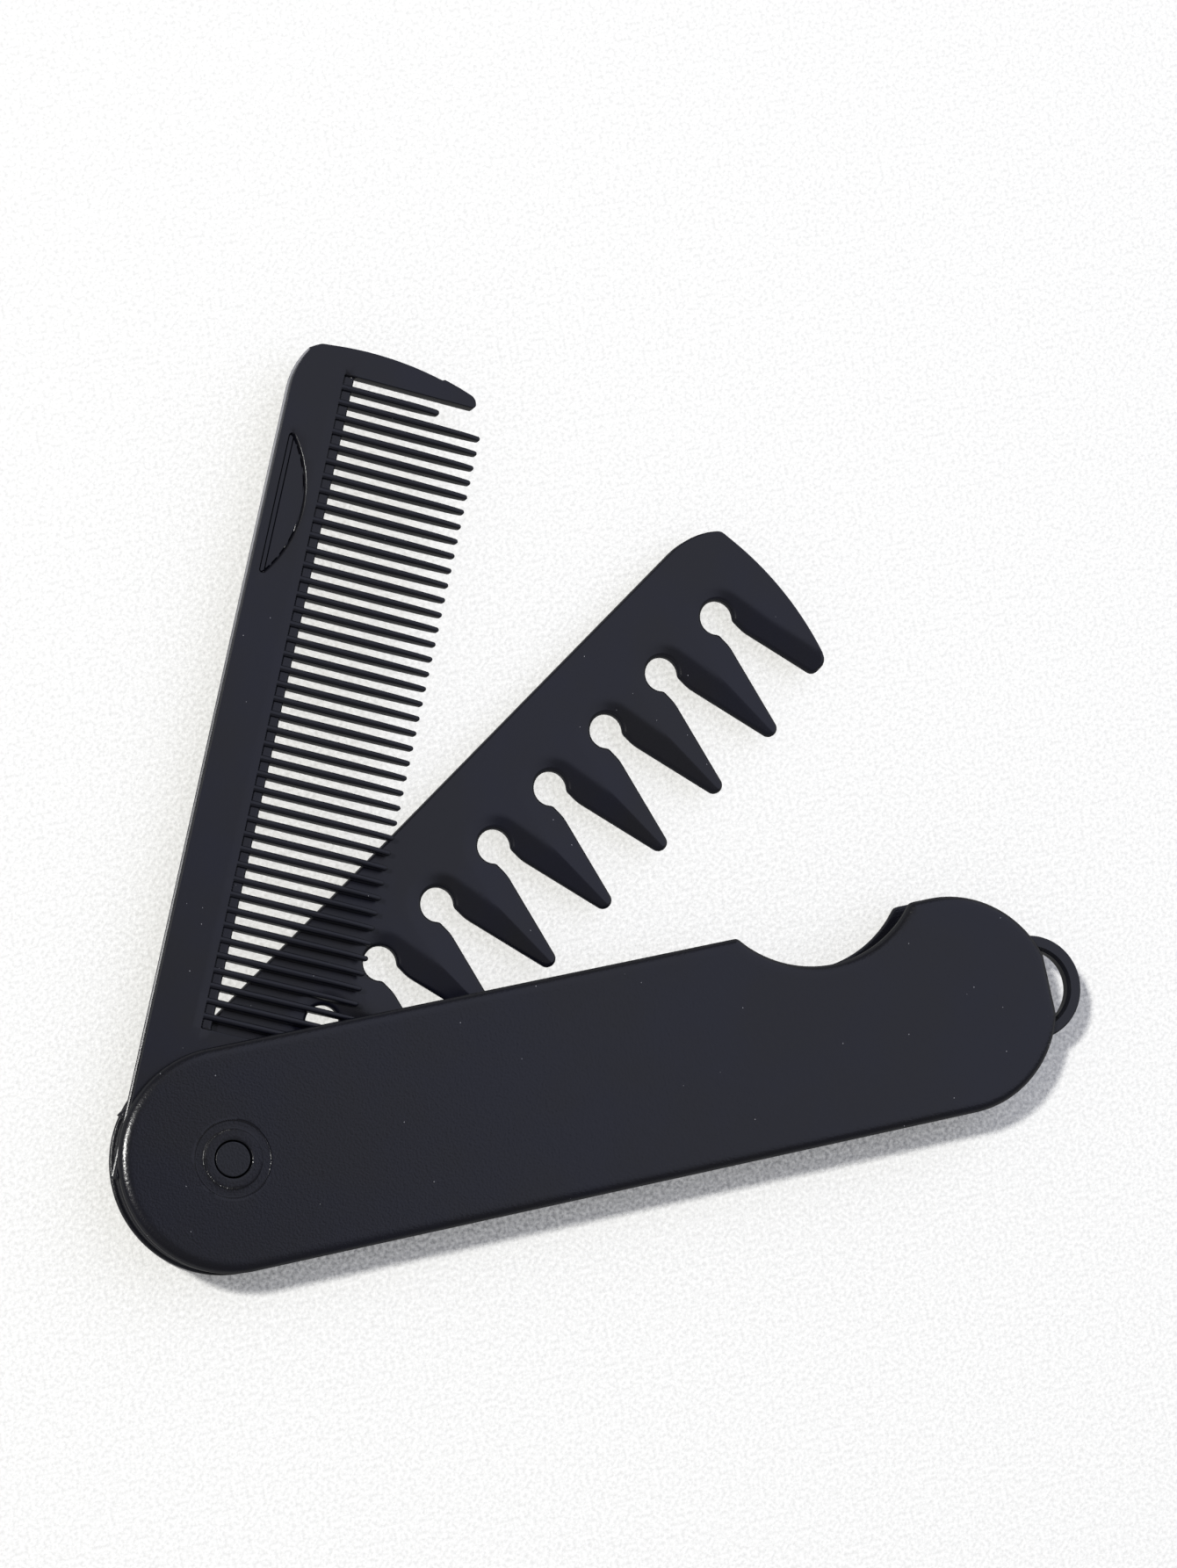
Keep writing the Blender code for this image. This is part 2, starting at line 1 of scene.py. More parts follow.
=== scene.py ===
# %% [markdown]
# # A folding comb in black plastic
#
# The object is a pocket comb of two blades, one with fine teeth and one with wide teeth, that swing on one
# pin out of a slim case. It lies open on a pale floor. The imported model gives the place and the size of
# every piece, and this lesson makes a closer version of each one, with rounded edges, moulded relief and
# black plastic that looks moulded.
#
# Everything that follows is measured in millimetres, because that is how such a part is drawn, and is
# turned to metres where a mesh is made.

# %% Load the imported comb
import math

import bmesh
import bpy
import numpy as np
from mathutils import Matrix, Vector
from mathutils.geometry import delaunay_2d_cdt
from mathutils.kdtree import KDTree


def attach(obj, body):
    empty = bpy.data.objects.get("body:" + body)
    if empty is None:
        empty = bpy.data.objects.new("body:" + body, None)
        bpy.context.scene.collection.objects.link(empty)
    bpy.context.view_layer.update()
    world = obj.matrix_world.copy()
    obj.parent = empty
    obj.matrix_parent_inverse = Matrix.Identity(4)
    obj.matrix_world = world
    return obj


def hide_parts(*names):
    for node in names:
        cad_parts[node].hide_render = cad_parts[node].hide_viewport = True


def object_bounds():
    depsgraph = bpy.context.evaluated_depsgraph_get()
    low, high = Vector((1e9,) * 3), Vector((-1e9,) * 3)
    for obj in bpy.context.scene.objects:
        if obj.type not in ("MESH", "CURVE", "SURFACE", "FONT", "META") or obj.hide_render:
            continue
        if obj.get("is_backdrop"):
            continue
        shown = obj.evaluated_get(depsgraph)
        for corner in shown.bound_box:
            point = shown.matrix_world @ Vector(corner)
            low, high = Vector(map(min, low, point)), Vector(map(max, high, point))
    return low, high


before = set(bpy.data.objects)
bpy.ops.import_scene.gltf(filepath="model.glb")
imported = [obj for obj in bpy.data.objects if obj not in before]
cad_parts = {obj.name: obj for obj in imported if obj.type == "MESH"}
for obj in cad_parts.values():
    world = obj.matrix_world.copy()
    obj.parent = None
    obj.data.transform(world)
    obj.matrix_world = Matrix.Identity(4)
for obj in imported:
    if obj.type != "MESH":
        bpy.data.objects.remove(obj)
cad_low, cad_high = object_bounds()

MM = 0.001

# %% [markdown]
# ## The camera
#
# The photographer stood almost straight above the comb with a long lens. A camera can be placed by typing a
# location and three Euler angles, but those say little. Here it is placed by four numbers that a
# photographer would give: the point it looks at, how far away it is, how far it leans from straight down
# and in which direction, and how much it is rolled.

# %% Camera
AIM = (7.86, 40.0, 8.0)
DISTANCE = 709.5
LEAN_DEG = 16.19
HEADING_DEG = 13.52
ROLL_DEG = 12.21
LENS = 118.99


def camera_turn(lean_deg, heading_deg, roll_deg):
    """Rotation of a camera that leans from straight down towards a heading and is rolled clockwise."""
    lean, heading, roll = (math.radians(a) for a in (lean_deg, heading_deg, roll_deg))
    sideways = math.sin(lean)
    forward = Vector((sideways * math.cos(heading), sideways * math.sin(heading), -math.cos(lean)))
    level_up = (Vector((0, 1, 0)) - forward * forward.y).normalized()
    level_right = forward.cross(level_up)
    up = level_up * math.cos(roll) + level_right * math.sin(roll)
    right = forward.cross(up)
    return Matrix((right, up, -forward)).transposed()


turn = camera_turn(LEAN_DEG, HEADING_DEG, ROLL_DEG)
camera = bpy.data.objects.new("camera", bpy.data.cameras.new("camera"))
bpy.context.scene.collection.objects.link(camera)
camera.data.lens = LENS
camera.data.sensor_width = 36.0
camera.data.clip_start = 0.01
camera.rotation_mode = "QUATERNION"
camera.rotation_quaternion = turn.to_quaternion()
camera.location = Vector(AIM) * MM + turn.col[2] * DISTANCE * MM
bpy.context.scene.camera = camera
print("camera at", tuple(round(c, 4) for c in camera.location))

# %% [markdown]
# ## One helper for every node
#
# Materials and Geometry Nodes are both node trees, and in a script each node needs the same three things: its
# own settings, its values and its links. One function does all of it, so the trees below read from top to
# bottom like a recipe. Colours are given as sRGB hex values, as a paint program shows them, while a shader
# works in linear light, so a second function turns one into the other.

# %% Node and colour helpers


def add(tree, kind, inputs=None, **settings):
    """Add a node, set its own properties, and fill its sockets with values or with links."""
    node = tree.nodes.new(kind)
    for name, value in settings.items():
        setattr(node, name, value)
    for key, value in (inputs or {}).items():
        if isinstance(value, bpy.types.NodeSocket):
            tree.links.new(value, node.inputs[key])
        else:
            node.inputs[key].default_value = value
    return node


def linear(hex_colour):
    """An sRGB hex colour as linear red, green, blue and alpha."""
    parts = [int(hex_colour[i:i + 2], 16) / 255 for i in (1, 3, 5)]
    return (*(c / 12.92 if c <= 0.04045 else ((c + 0.055) / 1.055) ** 2.4 for c in parts), 1.0)


print("a dark blue-black:", [round(c, 4) for c in linear("#1b1c22")])

# %% [markdown]
# ## Floor and light
#
# The floor in such pictures is a sheet of pale board with a fine pebbled grain. It is a plain mesh square
# whose material carries the grain as bump and also in its glow: the board has painted light, brighter on some
# pebbles than on others, which paints the grain's shading into the shadows.
#
# The light is a dim room, one small bright lamp high on the left that draws the crisp shadow along the
# case's lower edge, and one broad bluish panel, like a window, on the right. Black plastic shows little but
# what it mirrors, so the panel stands where the flat faces mirror it towards the camera, and the slopes
# that lean away from it stay black. The room is darkest overhead, where those slopes look.
#
# In the photo the comb is held well above its backdrop. Its blades leave no shadow in their own gaps, and
# its sides mirror no white. Here it lies on the floor, so three settings stand in for that distance. The
# floor is hidden from mirror rays. It glows a little, as a board does that gets light back from white
# walls. And the key lamp is a pair of lamps, told apart by light linking: one lights the comb, with all its
# shadows, and one lights the floor and is blocked by the case alone. They stand a few degrees apart,
# because the comb in the photo isn't parallel to its backdrop.

# %% Floor
FLOOR_SIZE = 8000.0
PEBBLES_PER_MM = 1.9
PEBBLE_HEIGHT = 0.1
board = bpy.data.materials.new("pale_pebbled_board")
board.use_nodes = True
nodes = board.node_tree
nodes.nodes.clear()
where = add(nodes, "ShaderNodeTexCoord")
in_mm = add(nodes, "ShaderNodeMapping", {"Vector": where.outputs["Object"], "Scale": (1000, 1000, 1000)})
pebbles = add(nodes, "ShaderNodeTexNoise", {
    "Vector": in_mm.outputs[0], "Scale": PEBBLES_PER_MM, "Detail": 1.5})
bump = add(nodes, "ShaderNodeBump", {
    "Height": pebbles.outputs["Fac"], "Strength": 1.0, "Distance": PEBBLE_HEIGHT * MM})
# Painted light: the board's glow follows the pebbles and paints their shading into the shadows.
glow = add(nodes, "ShaderNodeMapRange", {
    "Value": pebbles.outputs["Fac"], "From Min": 0.3, "From Max": 0.7, "To Min": 0.06, "To Max": 0.25})
shade = add(nodes, "ShaderNodeBsdfPrincipled", {
    "Base Color": linear("#f1f1ef"), "Roughness": 0.7, "Specular IOR Level": 0.2, "Normal": bump.outputs[0],
    "Emission Color": glow.outputs[0], "Emission Strength": 1.0})
add(nodes, "ShaderNodeOutputMaterial", {"Surface": shade.outputs[0]})

half = FLOOR_SIZE / 2 * MM
corners = [(-half, -half, 0), (half, -half, 0), (half, half, 0), (-half, half, 0)]
floor_mesh = bpy.data.meshes.new("floor")
floor_mesh.from_pydata(corners, [], [(0, 1, 2, 3)])
floor_mesh.materials.append(board)
floor = bpy.data.objects.new("floor", floor_mesh)
bpy.context.scene.collection.objects.link(floor)
floor.visible_glossy = False
floor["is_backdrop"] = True
print("floor", FLOOR_SIZE, "mm square")

# %% Room
ROOM_WHITE = 0.15
HORIZON_WHITE = 0.5
world = bpy.data.worlds.new("dim_room")
world.use_nodes = True
nodes = world.node_tree
way = add(nodes, "ShaderNodeTexCoord")
parts = add(nodes, "ShaderNodeSeparateXYZ", {0: way.outputs["Generated"]})
height = add(nodes, "ShaderNodeMath", {0: parts.outputs["Z"]}, operation="ABSOLUTE")
strength = add(nodes, "ShaderNodeMapRange", {
    "Value": height.outputs[0], "From Min": 0.05, "From Max": 0.6,
    "To Min": HORIZON_WHITE, "To Max": ROOM_WHITE})
nodes.links.new(strength.outputs[0], nodes.nodes["Background"].inputs["Strength"])
nodes.nodes["Background"].inputs["Color"].default_value = linear("#ffffff")
bpy.context.scene.world = world
bpy.context.scene.view_settings.view_transform = "Standard"
print("room", ROOM_WHITE, "overhead and", HORIZON_WHITE, "at the horizon")

# %% Lamps
LAMP_AIM = Vector((0.0, 30.0, 0.0))
COMB_KEY_DIRECTION = Vector((-0.46, 0.2, 0.865)).normalized()
FLOOR_KEY_DIRECTION = Vector((-0.42, 0.32, 0.85)).normalized()
KEY_DISTANCE = 3000.0
KEY_SIZE = 300.0
KEY_POWER = 66.5
KEY_COLOUR = (1.0, 0.99, 0.96)
PANEL_DIRECTION = Vector((0.6, 0.2, 0.77)).normalized()
PANEL_DISTANCE = 1200.0
PANEL_SIZE = 1500.0
PANEL_POWER = 4.5
PANEL_COLOUR = (0.73, 0.77, 1.0)


def lamp(name, shape, size, distance, direction, power, colour):
    """An area lamp that faces the middle of the comb from a direction."""
    data = bpy.data.lights.new(name, "AREA")
    data.shape = shape
    data.size = size * MM
    data.energy = power
    data.color = colour
    made = bpy.data.objects.new(name, data)
    made.location = (LAMP_AIM + direction * distance) * MM
    made.rotation_mode = "QUATERNION"
    made.rotation_quaternion = direction.to_track_quat("Z", "Y")
    bpy.context.scene.collection.objects.link(made)
    return made


def key_lamp(name, direction, lit):
    """One of the two key lamps, which lights only the pieces of one collection."""
    made = lamp(name, "DISK", KEY_SIZE, KEY_DISTANCE, direction, KEY_POWER, KEY_COLOUR)
    made.light_linking.receiver_collection = lit
    return made


lamp("soft_panel", "SQUARE", PANEL_SIZE, PANEL_DISTANCE, PANEL_DIRECTION, PANEL_POWER, PANEL_COLOUR)
comb_pieces = bpy.data.collections.new("lit_by_comb_lamp")
floor_pieces = bpy.data.collections.new("lit_by_floor_lamp")
floor_pieces.objects.link(floor)
case_pieces = bpy.data.collections.new("blocks_floor_lamp")
key_lamp("comb_lamp", COMB_KEY_DIRECTION, comb_pieces)
floor_lamp = key_lamp("floor_lamp", FLOOR_KEY_DIRECTION, floor_pieces)
floor_lamp.light_linking.blocker_collection = case_pieces
print("key", KEY_POWER, "W, panel", PANEL_POWER, "W")

# %% [markdown]
# ## Black moulded plastic
#
# The case is black ABS from a mould whose steel was spark-eroded, which prints a grain of about 0.3 mm on
# the plastic. It breaks a highlight up and keeps flat faces even and dark. The blades come from a smoother
# part of the mould, with a grain half as wide and much lower. Both get rougher and smoother in soft patches
# where fingers have polished them, and their corners are a touch paler where the grain has worn. Now and
# then a pale speck of dust lies on them.
#
# The worn corners could be found with the pointiness of the mesh, but that depends on how finely it is cut.
# Here every mesh carries the distance to its nearest edge as an attribute, which is the same in any program.
# A second attribute tells where a pale sheen is painted on: a painted reflection of the pale floor, along the
# back of the fine blade.

# %% Black plastics
PATCHES_PER_MM = 0.07
WORN_WIDTH = 0.5
DUST_PER_MM = 0.36
DUST_COLOUR = "#a6a6ac"
# Painted reflection: a pale sheen painted on the faces that a mesh's attribute marks.
PAINTED_SHEEN_COLOUR = "#97989e"


def moulded_black(name, blue, neutral, worn, smoothest, roughest, grain_per_mm, grain_height):
    """Black plastic with a moulded grain, soft patches, worn corners, a few specks of dust and a painted
    sheen, a painted reflection where a mesh's attribute asks for it.
    """
    made = bpy.data.materials.new(name)
    made.use_nodes = True
    nodes = made.node_tree
    nodes.nodes.clear()
    where = add(nodes, "ShaderNodeTexCoord")
    in_mm = add(nodes, "ShaderNodeMapping", {
        "Vector": where.outputs["Object"], "Scale": (1000, 1000, 1000)})
    grain = add(nodes, "ShaderNodeTexNoise", {
        "Vector": in_mm.outputs[0], "Scale": grain_per_mm, "Detail": 2.0, "Roughness": 0.6})
    patches = add(nodes, "ShaderNodeTexNoise", {
        "Vector": in_mm.outputs[0], "Scale": PATCHES_PER_MM, "Detail": 3.0})
    edge = add(nodes, "ShaderNodeAttribute", attribute_name="edge_mm")
    wear = add(nodes, "ShaderNodeMapRange", {
        "Value": edge.outputs["Fac"], "From Min": WORN_WIDTH / 10, "From Max": WORN_WIDTH,
        "To Min": 1.0, "To Max": 0.0})
    tint = add(nodes, "ShaderNodeMapRange", {
        "Value": patches.outputs["Fac"], "From Min": 0.4, "From Max": 0.6})
    specks = add(nodes, "ShaderNodeTexVoronoi", {"Vector": in_mm.outputs[0], "Scale": DUST_PER_MM})
    dust = add(nodes, "ShaderNodeMapRange", {
        "Value": specks.outputs["Distance"], "From Min": 0.018, "From Max": 0.03,
        "To Min": 0.8, "To Max": 0.0})
    # Painted reflection: this attribute says where the pale sheen is painted.
    painted_sheen = add(nodes, "ShaderNodeAttribute", attribute_name="painted_sheen")
    layers = ((tint.outputs[0], neutral), (wear.outputs[0], worn), (dust.outputs[0], DUST_COLOUR),
              (painted_sheen.outputs["Fac"], PAINTED_SHEEN_COLOUR))
    colour = linear(blue)
    for share, hex_colour in layers:
        mix = add(nodes, "ShaderNodeMix", {
            "Factor": share, "A": colour, "B": linear(hex_colour)}, data_type="RGBA")
        colour = mix.outputs["Result"]
    rough = add(nodes, "ShaderNodeMapRange", {
        "Value": patches.outputs["Fac"], "To Min": smoothest, "To Max": roughest})
    bump = add(nodes, "ShaderNodeBump", {
        "Height": grain.outputs["Fac"], "Strength": 0.5, "Distance": grain_height * MM})
    shade = add(nodes, "ShaderNodeBsdfPrincipled", {
        "Base Color": colour, "Roughness": rough.outputs[0], "IOR": 1.5, "Normal": bump.outputs[0]})
    add(nodes, "ShaderNodeOutputMaterial", {"Surface": shade.outputs[0]})
    return made


case_black = moulded_black(
    "satin_grained_black_abs", blue="#0e0f19", neutral="#0f0f15", worn="#14151b",
    smoothest=0.2, roughest=0.25, grain_per_mm=3.2, grain_height=0.06)
comb_black = moulded_black(
    "smooth_satin_black_abs", blue="#0e0f1b", neutral="#0f0f15", worn="#0e0f18",
    smoothest=0.22, roughest=0.27, grain_per_mm=7.0, grain_height=0.01)
print("materials:", case_black.name, comb_black.name)

# %% [markdown]
# ## Outlines
#
# A moulded plate is drawn as an outline first. u runs along the case or a blade from the pivot, and v runs
# across it, on a blade towards its spine. Two helpers are enough for all of it: an arc, and a corner
# rounded by an arc that touches both of its sides.

# %% Arcs and rounded corners


def arc(cu, cv, radius, start_deg, end_deg, step=0.35):
    """Points along an arc, both ends included, about step millimetres apart."""
    steps = max(3, math.ceil(math.radians(abs(end_deg - start_deg)) * radius / step))
    angles = [math.radians(start_deg + (end_deg - start_deg) * i / steps) for i in range(steps + 1)]
    return [(cu + radius * math.cos(a), cv + radius * math.sin(a)) for a in angles]


def rounded(corner, before, after, radius, steps=8):
    """Points that replace a corner by an arc touching its two straight sides."""
    corner, before, after = (Vector(p) for p in (corner, before, after))
    one, other = (before - corner).normalized(), (after - corner).normalized()
    half_angle = one.angle(other) / 2
    centre = corner + (one + other).normalized() * radius / math.sin(half_angle)
    start = corner + one * radius / math.tan(half_angle) - centre
    end = corner + other * radius / math.tan(half_angle) - centre
    sweep = start.angle_signed(end)
    return [tuple(centre + Matrix.Rotation(-sweep * i / steps, 2) @ start) for i in range(steps + 1)]


print("a quarter turn:", [tuple(round(c, 2) for c in p) for p in rounded((0, 0), (9, 0), (0, 9), 2.0, 2)])

# %% [markdown]
# ## From an outline to a moulded plate
#
# Extruding an outline gives a slab with sharp edges, and a Bevel modifier rounds them all alike. These
# plates need more: a rolled rim, a dished recess, slopes that fade into a flat. So each plate is made as
# relief. Its outline is filled with points, the points are joined to triangles by Blender's own Delaunay
# routine, and two small functions say how high the upper and the lower face are over every point. Rings of
# points run along the outline, closer together where a rim curves more, so a rolled edge is round with few
# faces.

# %% Measuring in the plane


def spaced(points, step, closed=True):
    """The same line with its straight stretches cut into steps."""
    ends = points[1:] + points[:1] if closed else points[1:]
    made = []
    for a, b in zip(points, ends):
        count = max(1, math.ceil(math.dist(a, b) / step))
        made += [(a[0] + (b[0] - a[0]) * i / count, a[1] + (b[1] - a[1]) * i / count) for i in range(count)]
    if not closed:
        made.append(points[-1])
    return np.array(made)


def distance_to(points, line, closed=True):
    """Distance from every point to the nearest stretch of a line."""
    line = np.asarray(line, np.float32)
    start = line if closed else line[:-1]
    reach = (np.roll(line, -1, 0) if closed else line[1:]) - start
    (start_u, start_v), (reach_u, reach_v) = start.T, reach.T
    length = np.maximum(reach_u ** 2 + reach_v ** 2, 1e-9)
    found = []
    for some in np.array_split(np.asarray(points, np.float32), len(points) // 300 + 1):
        away_u, away_v = some[:, :1] - start_u, some[:, 1:] - start_v
        share = np.clip((away_u * reach_u + away_v * reach_v) / length, 0, 1)
        away_u -= share * reach_u
        away_v -= share * reach_v
        found.append((away_u * away_u + away_v * away_v).min(1))
    return np.sqrt(np.concatenate(found)).astype(float)


def inside(points, loops):
    """True for the points that lie inside the first loop and outside the holes."""
    odd = np.zeros(len(points), bool)
    u, v = points[:, 0], points[:, 1]
    for loop in loops:
        for (au, av), (bu, bv) in zip(loop, np.roll(loop, -1, 0)):
            if av != bv:
                odd ^= ((av > v) != (bv > v)) & (u < (bu - au) * (v - av) / (bv - av) + au)
    return odd


square = spaced([(0, 0), (10, 0), (10, 10), (0, 10)], 2.5)
print("a square of", len(square), "points, and its middle is", distance_to([(5, 5)], square)[0], "mm in")

# %% Rolled edges


def rolled(distance, radius):
    """How far a rolled edge has dropped, at a distance in from the outline."""
    inward = np.clip(radius - distance, 0, radius)
    return radius - np.sqrt(radius ** 2 - inward ** 2)


def roll_steps(radius, count=6):
    """Distances from the outline between which a rolled edge turns by equal angles."""
    turned = [radius * (1 - math.cos(math.pi / 2 * i / count)) for i in range(1, count + 1)]
    return turned + [radius * 1.2]


def step_up(value, middle, width):
    """A soft step from 0 to 1 over a width."""
    share = np.clip((value - middle) / width + 0.5, 0, 1)
    return share * share * (3 - 2 * share)


print("a 1 mm roll turns at", [round(d, 2) for d in roll_steps(1.0)])

# %% Points inside an outline


def left_of(along):
    """Unit steps to the left of each direction."""
    return np.stack([-along[:, 1], along[:, 0]], 1) / np.linalg.norm(along, axis=1)[:, None]


def ring_beside(line, closed, distance, loops):
    """Points at a distance inside a line, without those that come too close to another part of it."""
    if closed:
        along = np.roll(line, -1, 0) - np.roll(line, 1, 0)
    else:
        along = np.gradient(line, axis=0)
    normal = left_of(along)
    left_inside = inside((line + normal * 0.01)[::10], loops).mean() > 0.5
    points = line + normal * (distance if left_inside else -distance)
    points = points[inside(points, loops)]
    gaps = np.min([distance_to(points, loop) for loop in loops], axis=0)
    return points[gaps > distance * 0.97]


def grid_inside(loops, step, margin, guides):
    """A staggered grid inside the outlines that keeps clear of their edge and of the guide points."""
    low, high = loops[0].min(0), loops[0].max(0)
    points = np.stack(np.meshgrid(np.arange(low[0], high[0], step), np.arange(low[1], high[1], step)), 2)
    points[1::2, :, 0] += step / 2
    points = points.reshape(-1, 2)
    points = points[inside(points, loops)]
    points = points[distance_to(points, loops[0]) > margin + step * 0.4]
    if not guides:
        return points
    tree = KDTree(sum(len(g) for g in guides))
    for i, (u, v) in enumerate(np.concatenate(guides)):
        tree.insert((u, v, 0), i)
    tree.balance()
    return np.array([p for p in points if tree.find((p[0], p[1], 0))[2] > step * 0.6])


def triangles(points, loops):
    """The points and the triangles that fill the outlines, all anticlockwise."""
    edges, base = [], 0
    for loop in loops:
        edges += [(base + i, base + (i + 1) % len(loop)) for i in range(len(loop))]
        base += len(loop)
    verts, _, faces, *_ = delaunay_2d_cdt([Vector(p) for p in points], edges, [], 0, 1e-5)
    plane = np.array([tuple(v) for v in verts])
    faces = np.array(faces)
    faces = faces[inside(plane[faces].mean(1), loops)]
    used, faces = np.unique(faces, return_inverse=True)
    plane, faces = plane[used], faces.reshape(-1, 3)
    a, b, c = (plane[faces[:, i]] for i in range(3))
    area = (b[:, 0] - a[:, 0]) * (c[:, 1] - a[:, 1]) - (b[:, 1] - a[:, 1]) * (c[:, 0] - a[:, 0])
    faces[area < 0] = faces[area < 0][:, ::-1]
    return plane, faces


print("the square in triangles:", len(triangles(square, [square])[1]))

# %% Relief plates
SHARP_DEG = 38


def placed(points, heights, turn_deg):
    """Points of the plane with their heights, turned about the pivot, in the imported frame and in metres."""
    angle = math.radians(turn_deg)
    u, v = points[:, 0], points[:, 1]
    x = PIVOT_X + u * math.cos(angle) - v * math.sin(angle)
    y = u * math.sin(angle) + v * math.cos(angle)
    return np.stack([x, y, heights], 1) * MM


def smooth_object(name, mesh, sharp_deg=SHARP_DEG):
    """An object whose mesh is shaded smooth, except where its faces meet at more than an angle."""
    mesh.shade_smooth()
    mesh.set_sharp_from_angle(angle=math.radians(sharp_deg))
    made = bpy.data.objects.new(name, mesh)
    bpy.context.scene.collection.objects.link(made)
    print(name, len(mesh.polygons), "faces")
    return made


def relief(name, loops, upper, lower, rims=(), grid=None, guides=(), turn_deg=0.0):
    """A closed plate with an outline and holes, whose two faces follow functions of the plane."""
    seeds = [ring_beside(line, closed, d, loops) for line, closed, steps in rims for d in steps]
    seeds += [np.asarray(g, float) for g in guides]
    if grid:
        margin = max([steps[-1] for _, _, steps in rims], default=0.0)
        seeds.append(grid_inside(loops, grid, margin, guides))
    plane, faces = triangles(np.concatenate([*loops, *[s for s in seeds if len(s)]]), loops)
    count = len(plane)
    sides = np.concatenate([faces[:, [0, 1]], faces[:, [1, 2]], faces[:, [2, 0]]])
    known = {(p, q) for p, q in sides.tolist()}
    walls = [(p + count, q + count, q, p) for p, q in known if (q, p) not in known]
    heights = np.concatenate([upper(plane), lower(plane)])
    corners = placed(np.concatenate([plane, plane]), heights, turn_deg)
    mesh = bpy.data.meshes.new(name)
    mesh.from_pydata(corners.tolist(), [], faces.tolist() + (faces[:, ::-1] + count).tolist() + walls)
    note = mesh.attributes.new("edge_mm", "FLOAT", "POINT")
    near = np.min([distance_to(plane, loop) for loop in loops], axis=0)
    note.data.foreach_set("value", np.concatenate([near, near]).astype(np.float32))
    return smooth_object(name, mesh)


# %% [markdown]
# ## Turned and lofted pieces
#
# A pin and a ring are turned: a profile goes round an axis. Spin could do it, but its seam has to be merged
# and its faces checked, so the faces are written out here, and the first ring is used again for the last. A
# tooth and a rib are lofted: the same small section is set at several heights, larger or smaller, and
# joined up.

# %% Turned solids


def turned(name, profile, centre, sides=128, start_deg=0.0, sweep_deg=360.0):
    """A turned solid round an upright axis, from a closed or axis-to-axis profile of radius and height."""
    whole = abs(sweep_deg) >= 360
    on_axis = profile[0][0] == 0
    stops = sides if whole else sides + 1
    bm = bmesh.new()
    rings = []
    for i in range(stops):
        angle = math.radians(start_deg + sweep_deg * i / sides)
        c, s = math.cos(angle), math.sin(angle)
        rings.append([bm.verts.new(((PIVOT_X + centre[0] + r * c) * MM, (centre[1] + r * s) * MM, z * MM))
                      for r, z in profile])
    count = len(profile)
    for i in range(sides):
        one, two = rings[i], rings[(i + 1) % stops]
        for j in range(count - 1 if on_axis else count):
            k = (j + 1) % count
            bm.faces.new((one[j], one[k], two[k], two[j]))
    if not whole:
        bm.faces.new(rings[0])
        bm.faces.new(rings[-1])
    bmesh.ops.remove_doubles(bm, verts=bm.verts, dist=1e-7)
    bmesh.ops.recalc_face_normals(bm, faces=bm.faces)
    mesh = bpy.data.meshes.new(name)
    bm.to_mesh(mesh)
    bm.free()
    return smooth_object(name, mesh)


def corner_roll(r, z, radius, dr, dz, steps=4):
    """Profile points round a corner at (r, z), from the face that dr leads to, to that of dz."""
    points = []
    for i in range(steps + 1):
        a = math.pi / 2 * i / steps
        points.append((r + dr * radius * (1 - math.sin(a)), z + dz * radius * (1 - math.cos(a))))
    return points


print("a rolled corner:", [(round(r, 2), round(z, 2)) for r, z in corner_roll(5, 1, 0.4, -1, -1, 2)])

# %% Lofted solids


def lofted(name, sections):
    """A closed solid from sections in metres, each joined to the next, with a cap at both ends."""
    bm = bmesh.new()
    rings = [[bm.verts.new(corner) for corner in section] for section in sections]
    for one, two in zip(rings, rings[1:]):
        for i in range(len(one)):
            k = (i + 1) % len(one)
            bm.faces.new((one[i], one[k], two[k], two[i]))
    bm.faces.new(rings[0])
    bm.faces.new(rings[-1])
    bmesh.ops.recalc_face_normals(bm, faces=bm.faces)
    mesh = bpy.data.meshes.new(name)
    bm.to_mesh(mesh)
    bm.free()
    return smooth_object(name, mesh, sharp_deg=50)


# %% [markdown]
# ## Handing a piece over
#
# A finished piece may be made of several closed shells, which are joined to one mesh without welding them.
# It then rides on its body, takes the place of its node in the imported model, and is told which lamps it
# knows.

# %% Joining and handing over


def joined(target, *others):
    """One object from several closed shells."""
    bm = bmesh.new()
    for piece in (target, *others):
        bm.from_mesh(piece.data)
    bm.to_mesh(target.data)
    bm.free()
    for piece in others:
        bpy.data.objects.remove(piece)
    return target


def hand_over(piece, material, body, node):
    """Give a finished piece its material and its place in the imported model."""
    piece.data.materials.clear()
    piece.data.materials.append(material)
    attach(piece, body)
    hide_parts(node)
    comb_pieces.objects.link(piece)
    if body == "case":
        case_pieces.objects.link(piece)
    low, high = np.array(piece.bound_box).min(0) / MM, np.array(piece.bound_box).max(0) / MM
    print(piece.name, "on", body, "from", low.round(2), "to", high.round(2))


# %% [markdown]
# ## The case plates
#
# Two plates of the same outline: half circles at both ends, a flat cut at the ring end and a bite in the
# upper edge for the thumb. The front plate has a rolled rim and a round boss inside a groove, where the pin
# ends. A Bevel gives one radius, but this rim is twice as wide as it is deep, so it follows a quarter of an
# ellipse.

